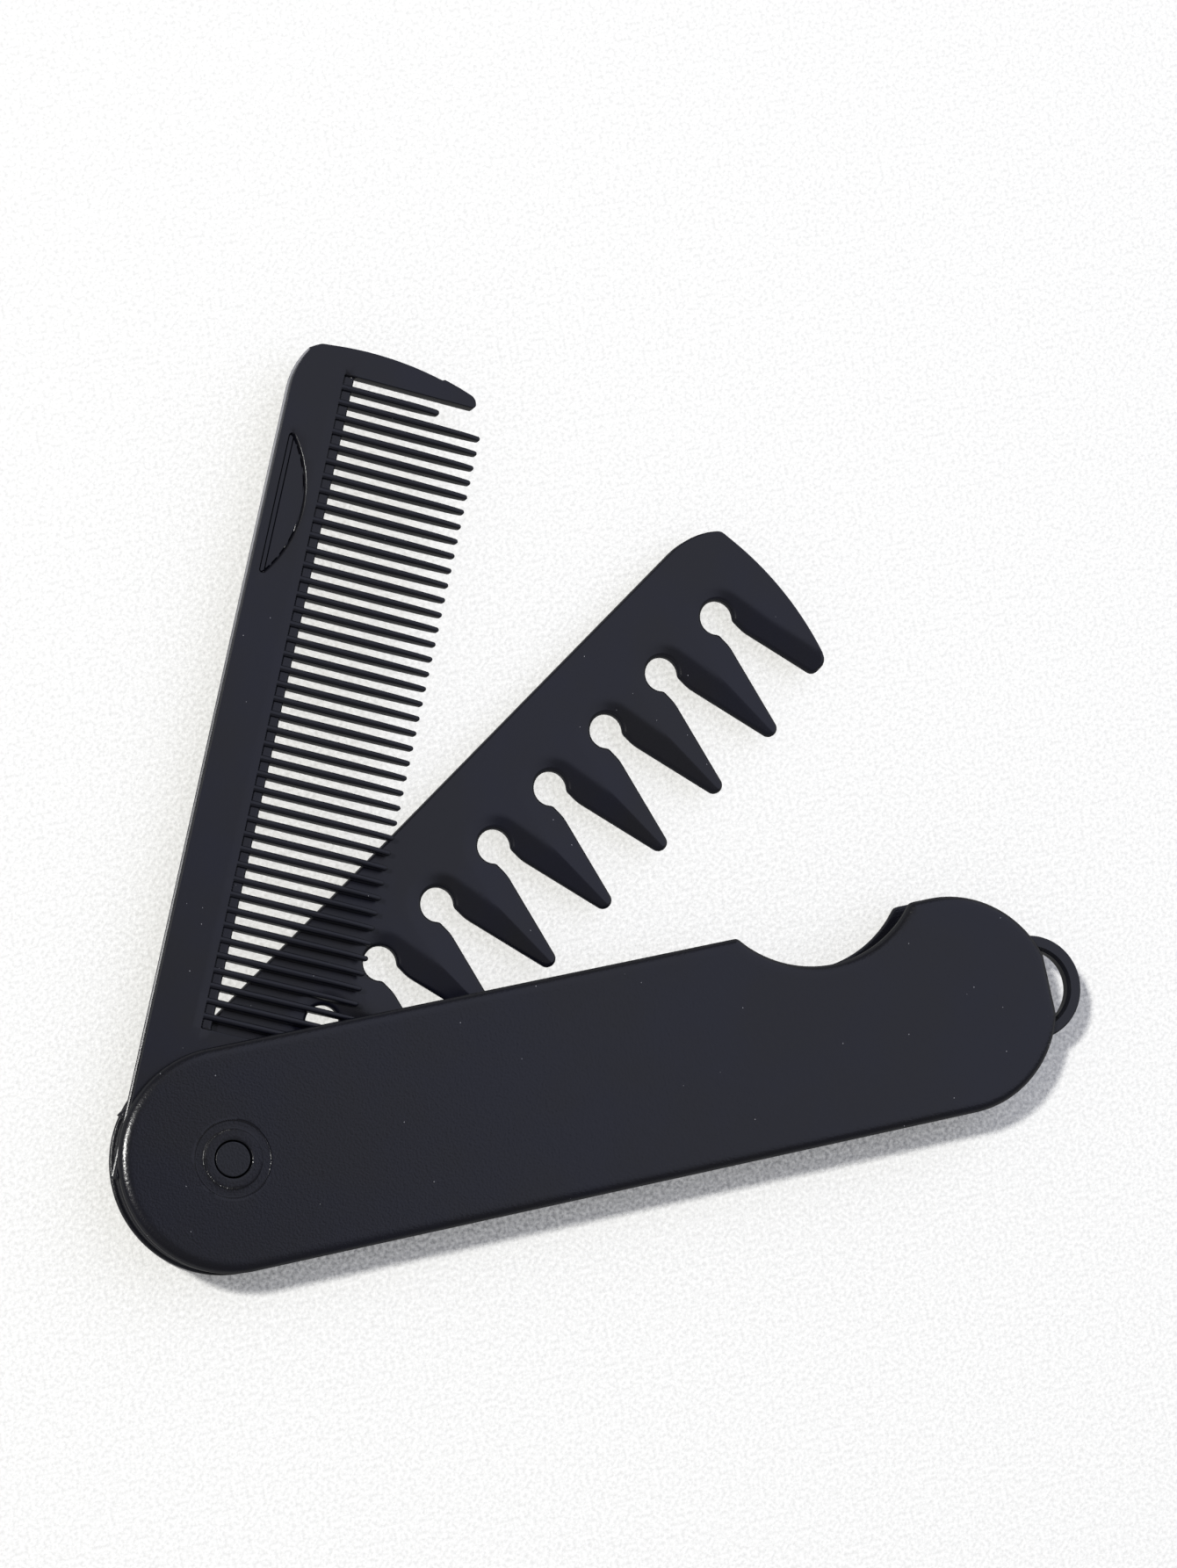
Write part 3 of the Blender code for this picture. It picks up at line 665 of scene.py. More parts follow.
# %% Case outline
PLATE_THICKNESS = 1.7
COMB_THICKNESS = 2.5
GAP = 0.3
WIDE_Z = PLATE_THICKNESS + GAP
FINE_Z = WIDE_Z + COMB_THICKNESS + GAP
FRONT_Z = FINE_Z + COMB_THICKNESS + GAP
CASE_HEIGHT = FRONT_Z + PLATE_THICKNESS
WALL_TOP_Z = FRONT_Z - GAP
HALF_WIDTH = 15.15
LEFT_U = -0.2
RIGHT_U = 103.65
FLAT_CUT_U = 118.2
NOTCH = (88.0, 25.5)
NOTCH_RADIUS = 16.5
NOTCH_CORNER = 1.0
NOTCH_CORNER_DEG = 6.0
CASE_STEP = 0.6
PIVOT_X = -(FLAT_CUT_U + LEFT_U - HALF_WIDTH) / 2


def case_outline():
    """Outline of both case plates, anticlockwise."""
    cut_deg = math.degrees(math.acos((FLAT_CUT_U - RIGHT_U) / HALF_WIDTH))
    points = arc(LEFT_U, 0, HALF_WIDTH, 90, 270)
    points += arc(RIGHT_U, 0, HALF_WIDTH, -90, -cut_deg)
    points += arc(RIGHT_U, 0, HALF_WIDTH, cut_deg, 90)
    reach = math.sqrt(NOTCH_RADIUS ** 2 - (NOTCH[1] - HALF_WIDTH) ** 2)
    inset_deg = math.degrees(math.acos(reach / NOTCH_RADIUS)) + NOTCH_CORNER_DEG
    notch = arc(*NOTCH, NOTCH_RADIUS, -inset_deg, -180 + inset_deg)
    right, left = (NOTCH[0] + reach, HALF_WIDTH), (NOTCH[0] - reach, HALF_WIDTH)
    points += rounded(right, (RIGHT_U, HALF_WIDTH), notch[0], NOTCH_CORNER)
    points += notch
    points += rounded(left, notch[-1], (LEFT_U, HALF_WIDTH), NOTCH_CORNER)
    return spaced(points, CASE_STEP)


case_loop = case_outline()
print("case outline", len(case_loop), "points")

# %% Front plate
RIM_WIDTH = 1.6
RIM_DEPTH = 0.75
BORE_RADIUS = 2.75
EYE_RADIUS = 2.57
BOSS_RADIUS = 3.95
GROOVE_RADIUS = 5.25
GROOVE_DEPTH = 0.2
GROOVE_WALL = 0.2
ARRIS = 0.12
PLATE_GRID = 1.6


def circle(centre, radius, step=0.3):
    """Points round a circle."""
    return np.array(arc(*centre, radius, 0, 360, step)[:-1])


bore_loop = circle((0, 0), BORE_RADIUS)
eye_loop = circle((0, 0), EYE_RADIUS)
case_rim = (case_loop, True, roll_steps(RIM_WIDTH, 10))


def rim(plane):
    """How far the case's rim has dropped: a quarter of an ellipse, wider than it is deep."""
    return rolled(distance_to(plane, case_loop), RIM_WIDTH) * RIM_DEPTH / RIM_WIDTH


def front_upper(plane):
    """The front plate's outer face, with its rim and its boss inside a groove that is soft at its foot."""
    r = np.hypot(plane[:, 0], plane[:, 1])
    into = np.clip(np.minimum(r - BOSS_RADIUS, GROOVE_RADIUS - r) / GROOVE_WALL, 0, 1)
    groove = GROOVE_DEPTH * (1 - (1 - into) ** 3)
    return CASE_HEIGHT - rim(plane) - groove - rolled(r - EYE_RADIUS, 0.1)


def front_lower(plane):
    """The front plate's inner face, with its arris just broken."""
    return FRONT_Z + rolled(distance_to(plane, case_loop), ARRIS)


foot = [i * GROOVE_WALL / 7 for i in range(9)]
pivot_radii = [2.58, 2.61, 2.67, 2.75, 3.1, 3.5, 3.75, *[BOSS_RADIUS + f for f in foot], 4.6,
               *[GROOVE_RADIUS - f for f in foot], 5.45, 5.7, 6.2]
pivot_guides = [circle((0, 0), r) for r in pivot_radii]
front_plate = relief("front_plate", [case_loop, eye_loop], front_upper, front_lower,
                     rims=[case_rim], grid=PLATE_GRID, guides=pivot_guides)
hand_over(front_plate, case_black, "case", "front_shell")

# %% [markdown]
# ## The back tray
#
# The back plate has the same rim on its outer side. A wall stands on it along the lower edge and round the
# ring end, and the hang ring grows out of that wall between two plates. The ring's hole passes through the
# wall. A Boolean could cut it, and here the wall's outline follows the hole instead, which leaves clean
# faces.

# %% Back plate
HEAD_RECESS_RADIUS = 4.5
HEAD_RECESS_DEPTH = 0.95
RECESS_RINGS = (3.2, 4.0, 4.4, 4.47, 4.53, 4.56, 4.6, 4.68, 5.2)


def back_upper(plane):
    """The back plate's inner face."""
    return PLATE_THICKNESS - rolled(distance_to(plane, case_loop), ARRIS)


def back_lower(plane):
    """The back plate's outer face, with its rolled rim and the recess for the pin's head."""
    r = np.hypot(plane[:, 0], plane[:, 1])
    recess = HEAD_RECESS_DEPTH * step_up(-r, -HEAD_RECESS_RADIUS, 0.06)
    corner = rolled(np.where(r > HEAD_RECESS_RADIUS + 0.02, r - HEAD_RECESS_RADIUS - 0.02, 9), 0.12)
    return rim(plane) + np.maximum(recess, corner)


recess_guides = [circle((0, 0), r) for r in RECESS_RINGS]
back_plate = relief("back_tray", [case_loop, bore_loop], back_upper, back_lower,
                    rims=[case_rim], grid=PLATE_GRID, guides=recess_guides)

# %% Wall of the tray
WALL_INNER_RADIUS = 13.95
WALL_LEFT_U = 6.2
WEB_INNER_U = 113.3
WEB_OUTER_U = 114.5
END_WALL_TOP_V = 9.0
RING = (116.05, 0.15)
RING_HOLE_RADIUS = 5.4
RING_OUTER_RADIUS = 7.28
RING_THICKNESS = 2.5
RING_Z = WALL_TOP_Z - 0.05 - RING_THICKNESS
WALL_STEP = 0.8


def wall_outline():
    """The wall from the lower edge round the ring end, open where the ring's hole passes through it."""
    step = math.dist(RING, (RIGHT_U, 0))
    across = (HALF_WIDTH ** 2 - RING_HOLE_RADIUS ** 2 + step ** 2) / (2 * step)
    half_deg = math.degrees(math.acos(across / HALF_WIDTH))
    tilt_deg = math.degrees(math.atan2(RING[1], RING[0] - RIGHT_U))
    low_deg, high_deg = tilt_deg - half_deg, tilt_deg + half_deg
    low = arc(RIGHT_U, 0, HALF_WIDTH, -90, low_deg)
    top_deg = math.degrees(math.asin(END_WALL_TOP_V / HALF_WIDTH))
    high = arc(RIGHT_U, 0, HALF_WIDTH, high_deg, top_deg)
    hole_low = math.degrees(math.atan2(low[-1][1] - RING[1], low[-1][0] - RING[0]))
    hole_high = math.degrees(math.atan2(high[0][1] - RING[1], high[0][0] - RING[0]))
    back_deg = math.degrees(math.acos((WEB_OUTER_U - RING[0]) / RING_HOLE_RADIUS))
    hole = arc(*RING, RING_HOLE_RADIUS, hole_low, -back_deg)
    hole += arc(*RING, RING_HOLE_RADIUS, back_deg, hole_high)
    web_deg = math.degrees(math.acos((WEB_INNER_U - RIGHT_U) / WALL_INNER_RADIUS))
    inner = arc(RIGHT_U, 0, WALL_INNER_RADIUS, -web_deg, -90)
    points = [(WALL_LEFT_U, -HALF_WIDTH)] + low + hole[1:] + high[1:]
    points += [(WEB_INNER_U, END_WALL_TOP_V)] + inner + [(WALL_LEFT_U, -WALL_INNER_RADIUS)]
    return spaced(points, WALL_STEP)


wall_loop = wall_outline()
wall = relief("wall", [wall_loop], lambda p: WALL_TOP_Z - rolled(distance_to(p, wall_loop), ARRIS),
              lambda p: np.full(len(p), PLATE_THICKNESS), rims=[(wall_loop, True, roll_steps(ARRIS, 3))])

# %% Hang ring
CHAMFER = 0.45
RING_CORNER = 0.25
RING_START_DEG = -107.5
RING_SWEEP_DEG = 215.0
low_z, high_z = RING_Z, RING_Z + RING_THICKNESS
ring_profile = [(RING_HOLE_RADIUS, high_z - CHAMFER), (RING_HOLE_RADIUS + CHAMFER, high_z)]
ring_profile += corner_roll(RING_OUTER_RADIUS, high_z, RING_CORNER, -1, -1)
ring_profile += corner_roll(RING_OUTER_RADIUS, low_z, RING_CORNER, -1, 1)[::-1]
ring_profile += [(RING_HOLE_RADIUS + CHAMFER, low_z), (RING_HOLE_RADIUS, low_z + CHAMFER)]
hang_ring = turned("ring", ring_profile, RING, 96, RING_START_DEG, RING_SWEEP_DEG)
back_tray = joined(back_plate, wall, hang_ring)
hand_over(back_tray, case_black, "case", "back_shell")

# %% [markdown]
# ## The pin
#
# The pin's plain end sits in the boss of the front plate, a little below its face, and its low head is sunk
# in the back plate. Two cylinders with a Bevel would do. A turned profile gives both in one closed shell,
# and every corner keeps the radius that is drawn for it.

# %% Pin
PIN_RADIUS = 2.36
PIN_HEAD_RADIUS = 4.2
PIN_TOP_Z = CASE_HEIGHT - GAP
PIN_BOTTOM_Z = 0.2
PIN_CORNER = 0.1
HEAD_CORNER = 0.15
head_top = HEAD_RECESS_DEPTH - GAP
pin_profile = [(0, PIN_TOP_Z), (1.6, PIN_TOP_Z), (PIN_RADIUS - 0.2, PIN_TOP_Z)]
pin_profile += corner_roll(PIN_RADIUS, PIN_TOP_Z, PIN_CORNER, -1, -1)
pin_profile += [(PIN_RADIUS, head_top)] + corner_roll(PIN_HEAD_RADIUS, head_top, PIN_CORNER, -1, -1)
pin_profile += corner_roll(PIN_HEAD_RADIUS, PIN_BOTTOM_Z, HEAD_CORNER, -1, 1)[::-1] + [(0, PIN_BOTTOM_Z)]
pin = turned("pin", pin_profile, (0, 0), 96)
hand_over(pin, case_black, "case", "pivot_pin")

# %% [markdown]
# ## What both blades share
#
# Each blade starts from a round hub with a stop tab, runs along a straight spine, and turns at the far end
# into a guard tooth that covers the tips of the others when the blade is folded. The two differ only in
# their numbers, so one function draws the far end of both.

# %% Spine, far end and hub
HUB_RADIUS = 14.95
TAB_U = -5.82
SHOULDER_RADIUS = 11.25
SHOULDER_END_DEG = 54
END_CORNER = (111.8, 11.8)
END_CORNER_RADIUS = 1.5
END_ARC_RADIUS = 46.0
END_ARC_TOP_V = 10.3
BLADE_STEP = 0.4
TAB_V = math.sqrt(HUB_RADIUS ** 2 - TAB_U ** 2)


def far_end(spine_v, shoulder_u, end_arc, tip_v, tip_radius, heel_radius, inner, inner_lean):
    """The spine and the far end, from the stop tab to the guard's inner flank, in two stretches."""
    shoulder = arc(shoulder_u, spine_v - SHOULDER_RADIUS, SHOULDER_RADIUS, 90, SHOULDER_END_DEG)
    start_deg = math.degrees(math.asin((END_ARC_TOP_V - end_arc[1]) / END_ARC_RADIUS))
    rise = tip_v + tip_radius - end_arc[1]
    end_deg = math.degrees(math.asin(rise / (END_ARC_RADIUS - tip_radius)))
    end = arc(*end_arc, END_ARC_RADIUS, start_deg, end_deg)
    toe_u = end_arc[0] + (END_ARC_RADIUS - tip_radius) * math.cos(math.radians(end_deg))
    heel = (inner[0] + inner_lean * (inner[1] - tip_v), tip_v)
    back = [(TAB_U, TAB_V), (TAB_U, spine_v)] + shoulder[:-1]
    back += rounded(END_CORNER, shoulder[-2], end[0], END_CORNER_RADIUS) + end[:-1]
    tip = arc(toe_u, tip_v + tip_radius, tip_radius, end_deg, -90, 0.2)
    tip += rounded(heel, (toe_u, tip_v), inner, heel_radius)
    return back, tip


def hub_edge(foot_v):
    """The hub's round edge, in two stretches: below the blade, and at its left with the stop tab."""
    foot_deg = math.degrees(math.asin(foot_v / HUB_RADIUS))
    tab_deg = math.degrees(math.acos(TAB_U / HUB_RADIUS)) - 360
    left_deg = -math.degrees(math.acos(-TAB_U / HUB_RADIUS))
    return arc(0, 0, HUB_RADIUS, foot_deg, left_deg)[:-1], arc(0, 0, HUB_RADIUS, left_deg, tab_deg)[:-1]


print("the stop tab starts at", (TAB_U, round(TAB_V, 2)))

# %% [markdown]
# ## The wide blade
#
# Its slots are keyholes: a round hole, a short neck and a mouth that flares between straight flanks. Both
# faces slope down towards every slot, which leaves a ridge along each tooth and a soft dish round each
# hole. A Bevel can't make slopes that are wider than half a tooth, so the slope is a rule: how thick the
# blade is depends on how far the nearest slot is, and a soft minimum rounds the ridge between two slots.

# %% Wide blade outline
WIDE_OPEN_DEG = 33.4
WIDE_PITCH = 11.43
WIDE_FIRST_SLOT_U = 102.66
WIDE_SLOT_COUNT = 8
KEYHOLE_V = 3.7
KEYHOLE_RADIUS = 2.36
NECK_HALF_WIDTH = 1.45
NECK_RADIUS = 0.9
MOUTH_RADIUS = 6.5
MOUTH_FLARE = 0.253
MOUTH_FLARE_V = -0.4
WIDE_TIP_V = -13.5
WIDE_TIP_RADIUS = 1.15
WIDE_SPINE_V = 14.68
WIDE_SHOULDER_U = 104.3
WIDE_END_ARC = (66.41, 4.0)
WIDE_GUARD_TIP_V = -11.7
WIDE_GUARD_RADIUS = 1.6
WIDE_HEEL_RADIUS = 1.1


def flank_u(v):
    """Half-width of a slot's flared mouth at height v."""
    return NECK_HALF_WIDTH + MOUTH_FLARE * (MOUTH_FLARE_V - v)


def keyhole(slot_u):
    """One keyhole slot from its mouth's far flank, over the round hole, to the near flank."""
    flare_deg = math.degrees(math.atan(MOUTH_FLARE))
    mouth_v = MOUTH_FLARE_V + MOUTH_RADIUS * math.tan(math.radians(flare_deg / 2))
    hole_deg = -math.degrees(math.acos((NECK_HALF_WIDTH + NECK_RADIUS) / (KEYHOLE_RADIUS + NECK_RADIUS)))
    neck_v = KEYHOLE_V + (KEYHOLE_RADIUS + NECK_RADIUS) * math.sin(math.radians(hole_deg))
    neck_u = slot_u + NECK_HALF_WIDTH + NECK_RADIUS
    right = arc(slot_u + NECK_HALF_WIDTH + MOUTH_RADIUS, mouth_v, MOUTH_RADIUS, 180 + flare_deg, 180)
    right += arc(neck_u, neck_v, NECK_RADIUS, 180, 180 + hole_deg, 0.15)
    hole = arc(slot_u, KEYHOLE_V, KEYHOLE_RADIUS, hole_deg, 180 - hole_deg, 0.3)
    left = [(2 * slot_u - u, v) for u, v in reversed(right)]
    return right[:-1] + hole + left[1:]


slots = [WIDE_FIRST_SLOT_U - WIDE_PITCH * i for i in range(WIDE_SLOT_COUNT)]
wide_back, wide_teeth = far_end(
    WIDE_SPINE_V, WIDE_SHOULDER_U, WIDE_END_ARC, WIDE_GUARD_TIP_V, WIDE_GUARD_RADIUS,
    WIDE_HEEL_RADIUS, (slots[0] + flank_u(0), 0), MOUTH_FLARE)
wide_foot = (math.sqrt(HUB_RADIUS ** 2 - WIDE_TIP_V ** 2), WIDE_TIP_V)
for slot_u in slots:
    wide_teeth += keyhole(slot_u)
    near, near_flank = (slot_u - flank_u(WIDE_TIP_V), WIDE_TIP_V), (slot_u - flank_u(0), 0)
    if slot_u == slots[-1]:
        wide_teeth += rounded(near, near_flank, wide_foot, WIDE_TIP_RADIUS)
    else:
        far = (slot_u - WIDE_PITCH + flank_u(WIDE_TIP_V), WIDE_TIP_V)
        far_flank = (slot_u - WIDE_PITCH + flank_u(0), 0)
        wide_teeth += rounded(near, near_flank, far, WIDE_TIP_RADIUS)
        wide_teeth += rounded(far, near, far_flank, WIDE_TIP_RADIUS)
hub_low, hub_left = hub_edge(WIDE_TIP_V)
wide_teeth += hub_low
wide_loop = spaced(wide_back + wide_teeth + hub_left, BLADE_STEP)
wide_back_line = spaced(hub_left + wide_back, BLADE_STEP, closed=False)
wide_teeth_line = spaced(wide_teeth, BLADE_STEP, closed=False)
print("wide blade outline", len(wide_loop), "points")

# %% [markdown]
# ## The nail nick
#
# A nick in the spine gives a fingernail something to pull on. It is a shallow D, with two lines scored in
# its floor. A Boolean leaves long thin faces round such a nick, and they shade badly. So the nick is one
# more rule for the height of the face, with rings of points along its wall. The fine blade has it on its
# front, and the wide blade on its back.

# %% Nail nick
NICK = (88.45, 25.6)
NICK_RADIUS = 16.35
NICK_CHORD_V = 13.5
NICK_SCORE_V = 12.72
NICK_DEPTH = 0.4
NICK_WALL = 0.32
NICK_CHORD_WALL = 0.04
NICK_SCORE_DEPTH = 0.3
NICK_SCORE_WIDTH = 0.08
NICK_CORNER = 0.55
NICK_CORNER_DEG = 6
NICK_RINGS = (0.04, 0.08, 0.12, 0.16, 0.2, 0.24, 0.28, 0.32, 0.4, 0.48)
half = math.sqrt(NICK_RADIUS ** 2 - (NICK[1] - NICK_CHORD_V) ** 2)
bow_deg = math.degrees(math.asin(half / NICK_RADIUS)) - NICK_CORNER_DEG
bow = arc(*NICK, NICK_RADIUS, -90 - bow_deg, -90 + bow_deg)
middle = (NICK[0], NICK_CHORD_V)
nick_loop = rounded((NICK[0] - half, NICK_CHORD_V), middle, bow[0], NICK_CORNER) + bow
nick_loop = spaced(nick_loop + rounded((NICK[0] + half, NICK_CHORD_V), bow[-1], middle, NICK_CORNER), 0.3)
nick_guides = [ring_beside(nick_loop, True, d, [nick_loop]) for d in NICK_RINGS]
along = np.arange(NICK[0] - 9.4, NICK[0] + 9.5, 0.3)
for shift in (-NICK_SCORE_WIDTH, 0.0, NICK_SCORE_WIDTH):
    nick_guides.append(np.stack([along, np.full(len(along), NICK_SCORE_V + shift)], 1))
nick_guides += [nick_loop]
print("nail nick", round(2 * half, 1), "mm wide")


def nick_depth(plane):
    """How deep the nail nick is: its wall, steeper at the straight side, and two scored lines."""
    away = distance_to(plane, nick_loop) * np.where(inside(plane, [nick_loop]), 1, -1)
    from_chord = NICK_CHORD_V - plane[:, 1]
    wall_width = NICK_CHORD_WALL + (NICK_WALL - NICK_CHORD_WALL) * step_up(from_chord, 0.45, 0.5)
    wall = np.clip(away / wall_width, 0, 1) ** 2
    round_line = 1 - np.abs(away - wall_width - NICK_SCORE_WIDTH) / NICK_SCORE_WIDTH
    straight_line = 1 - np.abs(plane[:, 1] - NICK_SCORE_V) / NICK_SCORE_WIDTH
    straight_line *= away > NICK_SCORE_WIDTH
    return NICK_DEPTH * wall + NICK_SCORE_DEPTH * np.clip(np.maximum(round_line, straight_line), 0, 1)


# %% [markdown]
# ## The slopes of the wide blade
#
# The slopes are measured from a line inside each slot: straight beside the teeth, and a small circle inside
# the round hole. That way the slope along a tooth and the dish round the hole are one rule and meet softly.

# %% Slopes beside the slots
SLOPE_WIDTH = 3.4
SLOPE_JOIN_V = -2.5
SLOPE_FAR_V = -25
SLOPE_BEND_RADIUS = 8.0
DISH_RADIUS = 4.2


def slope_path(slot_u):
    """What a slot's slopes are measured from: straight flanks that touch a circle inside its hole."""
    far, join = (flank_u(SLOPE_FAR_V), SLOPE_FAR_V), (flank_u(SLOPE_JOIN_V), SLOPE_JOIN_V)
    rise, core = KEYHOLE_V - SLOPE_JOIN_V, DISH_RADIUS - SLOPE_WIDTH
    touch = math.acos(core / math.hypot(join[0], rise)) - math.atan2(rise, join[0])
    touched = (core * math.cos(touch), KEYHOLE_V + core * math.sin(touch))
    side = [far] + rounded(join, far, touched, SLOPE_BEND_RADIUS)
    over = arc(0, KEYHOLE_V, core, math.degrees(touch), 180 - math.degrees(touch), 0.1)
    points = side + over + [(-u, v) for u, v in reversed(side)]
    return np.array([(slot_u + u, v) for u, v in points])


slot_paths = [slope_path(slot_u) for slot_u in slots]
print(len(slot_paths), "slopes, each measured from a line of", len(slot_paths[0]), "points")

# %% Thickness of the wide blade
SLOPE_DEPTH = 0.68
SLOPE_FADE = 0.03
RIDGE_SOFTNESS = 0.1
SLOT_ROLL = 0.5
WIDE_SPINE_RADIUS = 0.3
BLADE_ARRIS = 0.12
WIDE_MIDDLE = WIDE_Z + COMB_THICKNESS / 2


def wide_half(plane):
    """Half the wide blade's thickness: full along the spine, sloping down to every slot."""
    away = [distance_to(plane, path) * np.where(inside(plane, [path]), -1, 1) for path in slot_paths]
    away = np.maximum(away, -0.3)
    nearest = away.min(0)
    near = nearest - RIDGE_SOFTNESS * np.log(np.exp(-(away - nearest) / RIDGE_SOFTNESS).sum(0))
    lean = 1 - near / SLOPE_WIDTH
    slope = SLOPE_FADE * np.log1p(np.exp(np.clip(lean / SLOPE_FADE, -30, 30)))
    half = COMB_THICKNESS / 2 - SLOPE_DEPTH * slope
    edge = np.maximum(rolled(distance_to(plane, wide_back_line, closed=False), WIDE_SPINE_RADIUS),
                      rolled(distance_to(plane, wide_teeth_line, closed=False), SLOT_ROLL))
    bore = rolled(np.hypot(plane[:, 0], plane[:, 1]) - BORE_RADIUS, BLADE_ARRIS)
    return half - np.maximum(edge, bore)


in_tooth = np.array([[slots[0] - WIDE_PITCH / 2, -5.0]])
print("half the thickness of a wide tooth:", wide_half(in_tooth).round(2), "mm")

# %% Guide points on ridges and slopes
GUIDE_STEP = 0.15
ridges = []
for slot_u in slots[:-1]:
    for shift in (-GUIDE_STEP, 0.0, GUIDE_STEP):
        heights = np.arange(WIDE_TIP_V + 0.8, KEYHOLE_V + 4, 0.3)
        ridges.append(np.stack([np.full(len(heights), slot_u - WIDE_PITCH / 2 + shift), heights], 1))
for path in slot_paths:
    path = spaced(path.tolist(), BLADE_STEP, closed=False)
    outward = left_of(np.gradient(path, axis=0))
    for reach in (SLOPE_WIDTH - GUIDE_STEP, SLOPE_WIDTH, SLOPE_WIDTH + GUIDE_STEP):
        rim_points = path + outward * reach
        rim_points = rim_points[inside(rim_points, [wide_loop])]
        ridges.append(rim_points[distance_to(rim_points, wide_loop) > 0.7])
print("guide points:", sum(len(r) for r in ridges))

# %% Wide blade
WIDE_GRID = 0.5
wide_rims = [(wide_back_line, False, roll_steps(WIDE_SPINE_RADIUS, 5)),
             (wide_teeth_line, False, roll_steps(SLOT_ROLL, 5)),
             (bore_loop, True, roll_steps(BLADE_ARRIS, 3))]
wide_blade = relief("wide_blade", [wide_loop, bore_loop], lambda p: WIDE_MIDDLE + wide_half(p),
                    lambda p: WIDE_MIDDLE - wide_half(p) + nick_depth(p), rims=wide_rims,
                    grid=WIDE_GRID, guides=ridges + nick_guides, turn_deg=WIDE_OPEN_DEG)
hand_over(wide_blade, comb_black, "wide", "wide_comb")

# %% [markdown]
# ## The fine blade
#
# The teeth stand on a thinner strip below the spine, and the strip rounds down to the gaps between them.
# The strip's step and its round edge are rules for the thickness again. The teeth are made apart from it,
# since a tooth is crowned all along, and a plate's rule gives it a flat side.

# %% Fine blade outline
FINE_OPEN_DEG = 65.4
FINE_PITCH = 2.105
FINE_GAP_COUNT = 44
FIRST_GAP_U = 107.5
TOOTH_ROOT_WIDTH = 0.72
TOOTH_ROOT_V = 6.2
FINE_TIP_V = -12.67
SHORT_TIP_V = -6.35
STRIP_V = 7.7
STRIP_THICKNESS = 1.3
FINE_SPINE_V = 14.95
FINE_SHOULDER_U = 104.8
FINE_END_ARC = (66.3, 4.6)
FINE_GUARD_TIP_V = -11.0
FINE_GUARD_RADIUS = 1.4
FINE_HEEL_RADIUS = 0.5
GAP_CORNER = 0.35
FINE_MIDDLE = FINE_Z + COMB_THICKNESS / 2
gap_half = (FINE_PITCH - TOOTH_ROOT_WIDTH) / 2
strip_right = FIRST_GAP_U + gap_half
strip_left = FIRST_GAP_U - FINE_PITCH * (FINE_GAP_COUNT - 1) - gap_half

fine_back, fine_guard = far_end(
    FINE_SPINE_V, FINE_SHOULDER_U, FINE_END_ARC, FINE_GUARD_TIP_V, FINE_GUARD_RADIUS,
    FINE_HEEL_RADIUS, (strip_right, 0), 0)
gap_ends = []
for i in range(FINE_GAP_COUNT):
    gap_u = FIRST_GAP_U - FINE_PITCH * i
    corner_v = TOOTH_ROOT_V - GAP_CORNER
    gap_ends += arc(gap_u + gap_half - GAP_CORNER, corner_v, GAP_CORNER, 0, 90, 0.12)
    gap_ends += arc(gap_u - gap_half + GAP_CORNER, corner_v, GAP_CORNER, 90, 180, 0.12)
fine_hub_low, fine_hub_left = hub_edge(FINE_TIP_V)
foot = [(strip_left, FINE_TIP_V)] + fine_hub_low
fine_loop = spaced(fine_back + fine_guard + gap_ends + foot + fine_hub_left, BLADE_STEP)
fine_back_line = spaced(fine_hub_left + fine_back, BLADE_STEP, closed=False)
guard_line = spaced(fine_guard + gap_ends[:1], BLADE_STEP, closed=False)
foot_line = spaced(gap_ends[-1:] + foot, BLADE_STEP, closed=False)
gap_line = spaced(gap_ends, 0.3, closed=False)
print("fine blade outline", len(fine_loop), "points")

# %% [markdown]
# Along the back of the fine blade runs a fine lip, where the two halves of the mould met. It is a quarter of
# a millimetre wide. Its upper face is painted pale, a painted reflection of the pale floor, which leaves a
# pale line along the blade's edge, palest towards the far end.

# %% Lip along the back
LIP_WIDTH = 0.26
LIP_THICKNESS = 0.3
LIP_SLOPE = 0.4
lip_line = spaced(fine_back[1:-12], BLADE_STEP, closed=False)
lip_guides = [ring_beside(lip_line, False, d, [fine_loop]) for d in (LIP_WIDTH - 0.01, LIP_WIDTH + 0.01)]


def lip_drop(plane):
    """How far the upper face drops at the lip along the blade's back, which slopes outwards."""
    away = distance_to(plane, lip_line, closed=False)
    top = LIP_THICKNESS + LIP_SLOPE * away
    return (COMB_THICKNESS - top) * step_up(LIP_WIDTH - away, 0, 0.02)


print("the lip's line has", len(lip_line), "points")

# %% Thickness of the fine blade
FINE_SPINE_RADIUS = 0.08
STRIP_ROLL = 0.4
STRIP_STEP_AT = 0.06
STRIP_STEP_WIDTH = 0.16


def into_strip(plane):
    """How far a point lies inside the strip, measured from the spine and from both ends."""
    from_ends = np.minimum(plane[:, 0] - strip_left, strip_right - plane[:, 0])
    return np.minimum(STRIP_V - plane[:, 1], from_ends)


